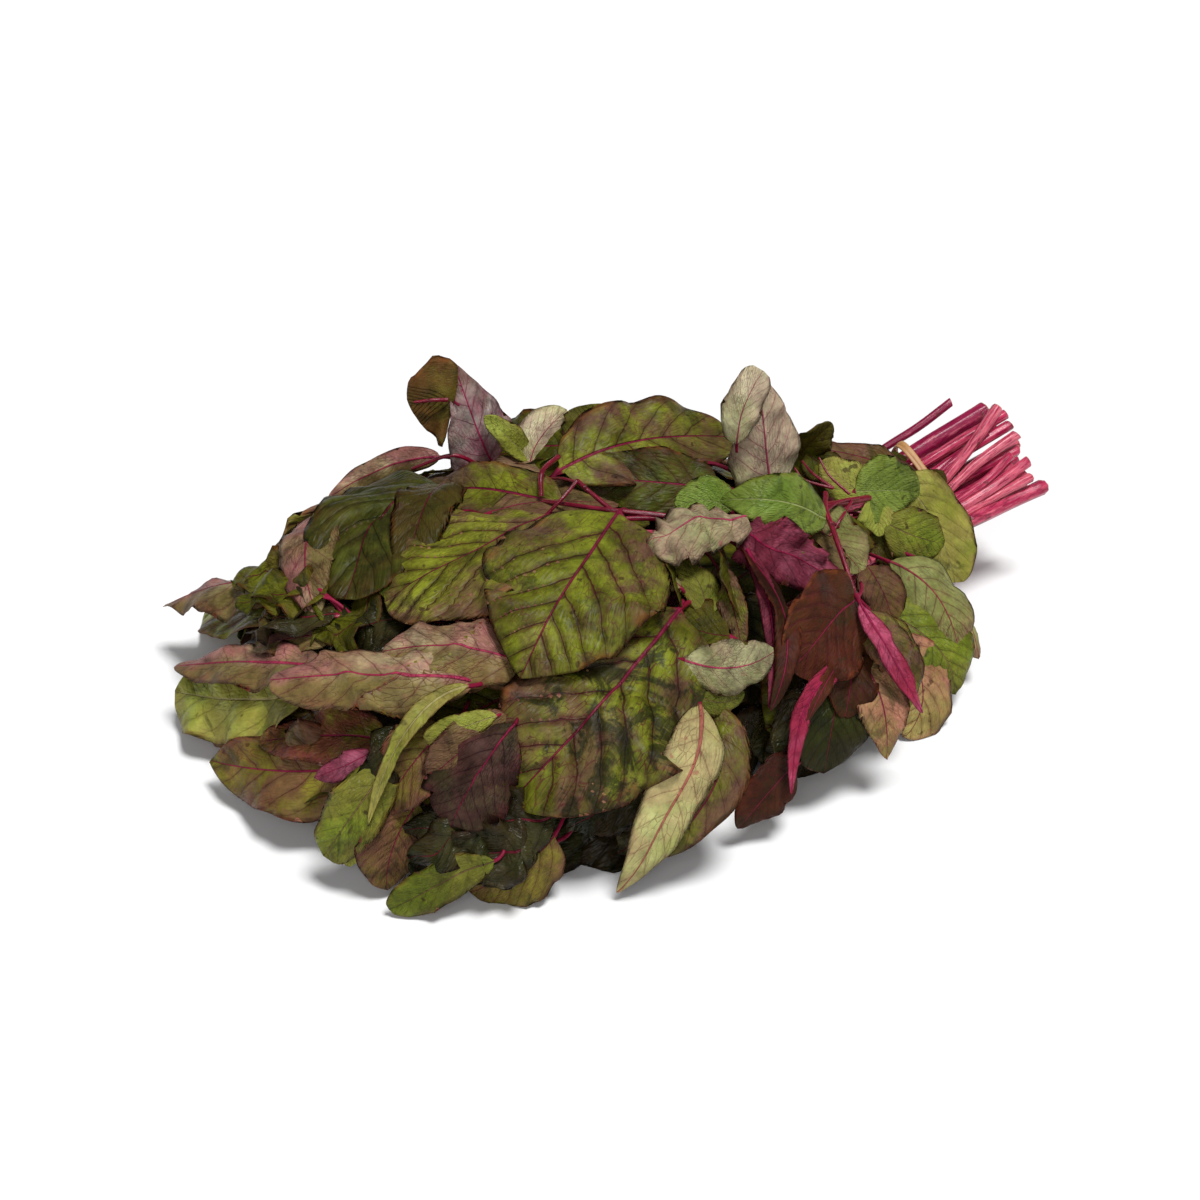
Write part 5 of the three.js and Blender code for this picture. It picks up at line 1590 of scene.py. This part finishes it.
# %% Floor
def floor_material():
    """A matt pale grey whose brightness hardly varies."""
    s = Shader("pale_floor")
    shade = s.mix(s.noise(s.place(), 3.0), (0.84, 0.84, 0.84), (0.87, 0.87, 0.87))
    return s.finish(colour=shade, roughness=0.9)


bpy.ops.mesh.primitive_circle_add(vertices=96, radius=8, fill_type="NGON")
floor = bpy.context.object
floor.name = "floor"
floor.data.materials.append(floor_material())
floor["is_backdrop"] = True
print("the floor is", round(floor.dimensions.x), "m wide")

# %% [markdown]
# A high soft light a little to the front and right is the key, a broader and weaker one from the front left
# fills its shadows, and a dim white room does the rest. Suns are used because they light every leaf alike.

# %% Light
world = bpy.data.worlds.new("room")
bpy.context.scene.world = world
world.use_nodes = True
world.node_tree.nodes["Background"].inputs["Color"].default_value = (1, 1, 1, 1)
world.node_tree.nodes["Background"].inputs["Strength"].default_value = 0.15


def soft_sun(name, source, strength, softness):
    """A far light that shines from the direction source, as soft as a disc so many degrees wide."""
    lamp = bpy.data.lights.new(name, "SUN")
    lamp.energy = strength
    lamp.angle = math.radians(softness)
    holder = bpy.data.objects.new(name, lamp)
    source = np.array(source) / np.linalg.norm(source)
    holder.rotation_euler = math.acos(source[2]), 0, math.atan2(source[1], source[0]) + math.pi / 2
    bpy.context.scene.collection.objects.link(holder)
    print(name, "stands", round(90 - math.degrees(math.acos(source[2]))), "degrees above the floor")


soft_sun("key", (0.2, -0.3, 1.3), 3.1, 18)
soft_sun("fill", (-0.5, -1.0, 0.7), 0.9, 40)

# %% [markdown]
# The camera stands about a metre away, to the left of the front, and looks down at the middle of the bunch.

# %% Camera
camera = bpy.data.objects.new("camera", bpy.data.cameras.new("camera"))
camera.data.lens = 66
camera.data.sensor_width = 36
azimuth, elevation, distance = math.radians(-22), math.radians(35), 1.05
level = math.cos(elevation)
back = np.array([math.sin(azimuth) * level, -math.cos(azimuth) * level, math.sin(elevation)])
target = np.array([0, 0, 45]) * MM + STEP
camera.location = target + back * distance
camera.rotation_euler = (math.pi / 2 - elevation, 0, azimuth)
bpy.context.scene.collection.objects.link(camera)
bpy.context.scene.camera = camera
bpy.context.scene.view_settings.view_transform = "Standard"
print("the camera looks at", np.round(target, 3), "from", distance, "m away")

# %% [markdown]
# ## What was made
# The box round all the visible pieces is compared with the box of the imported model, and how far it reaches past
# it is printed.
# A piece that reaches far past the model's box would be out of place.

# %% The two boxes and the number of faces
visual_box = [list(corner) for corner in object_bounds()]
for axis in range(3):
    low, high = (1000 * (visual_box[end][axis] - cad_box[end][axis]) for end in (0, 1))
    print("xyz"[axis], "beyond the model's box: low %.1f high %.1f mm" % (low, high))
faces = sum(len(o.data.polygons) for o in bpy.data.objects if o.type == "MESH" and o.name not in frame["nodes"])
print(faces, "faces in all")
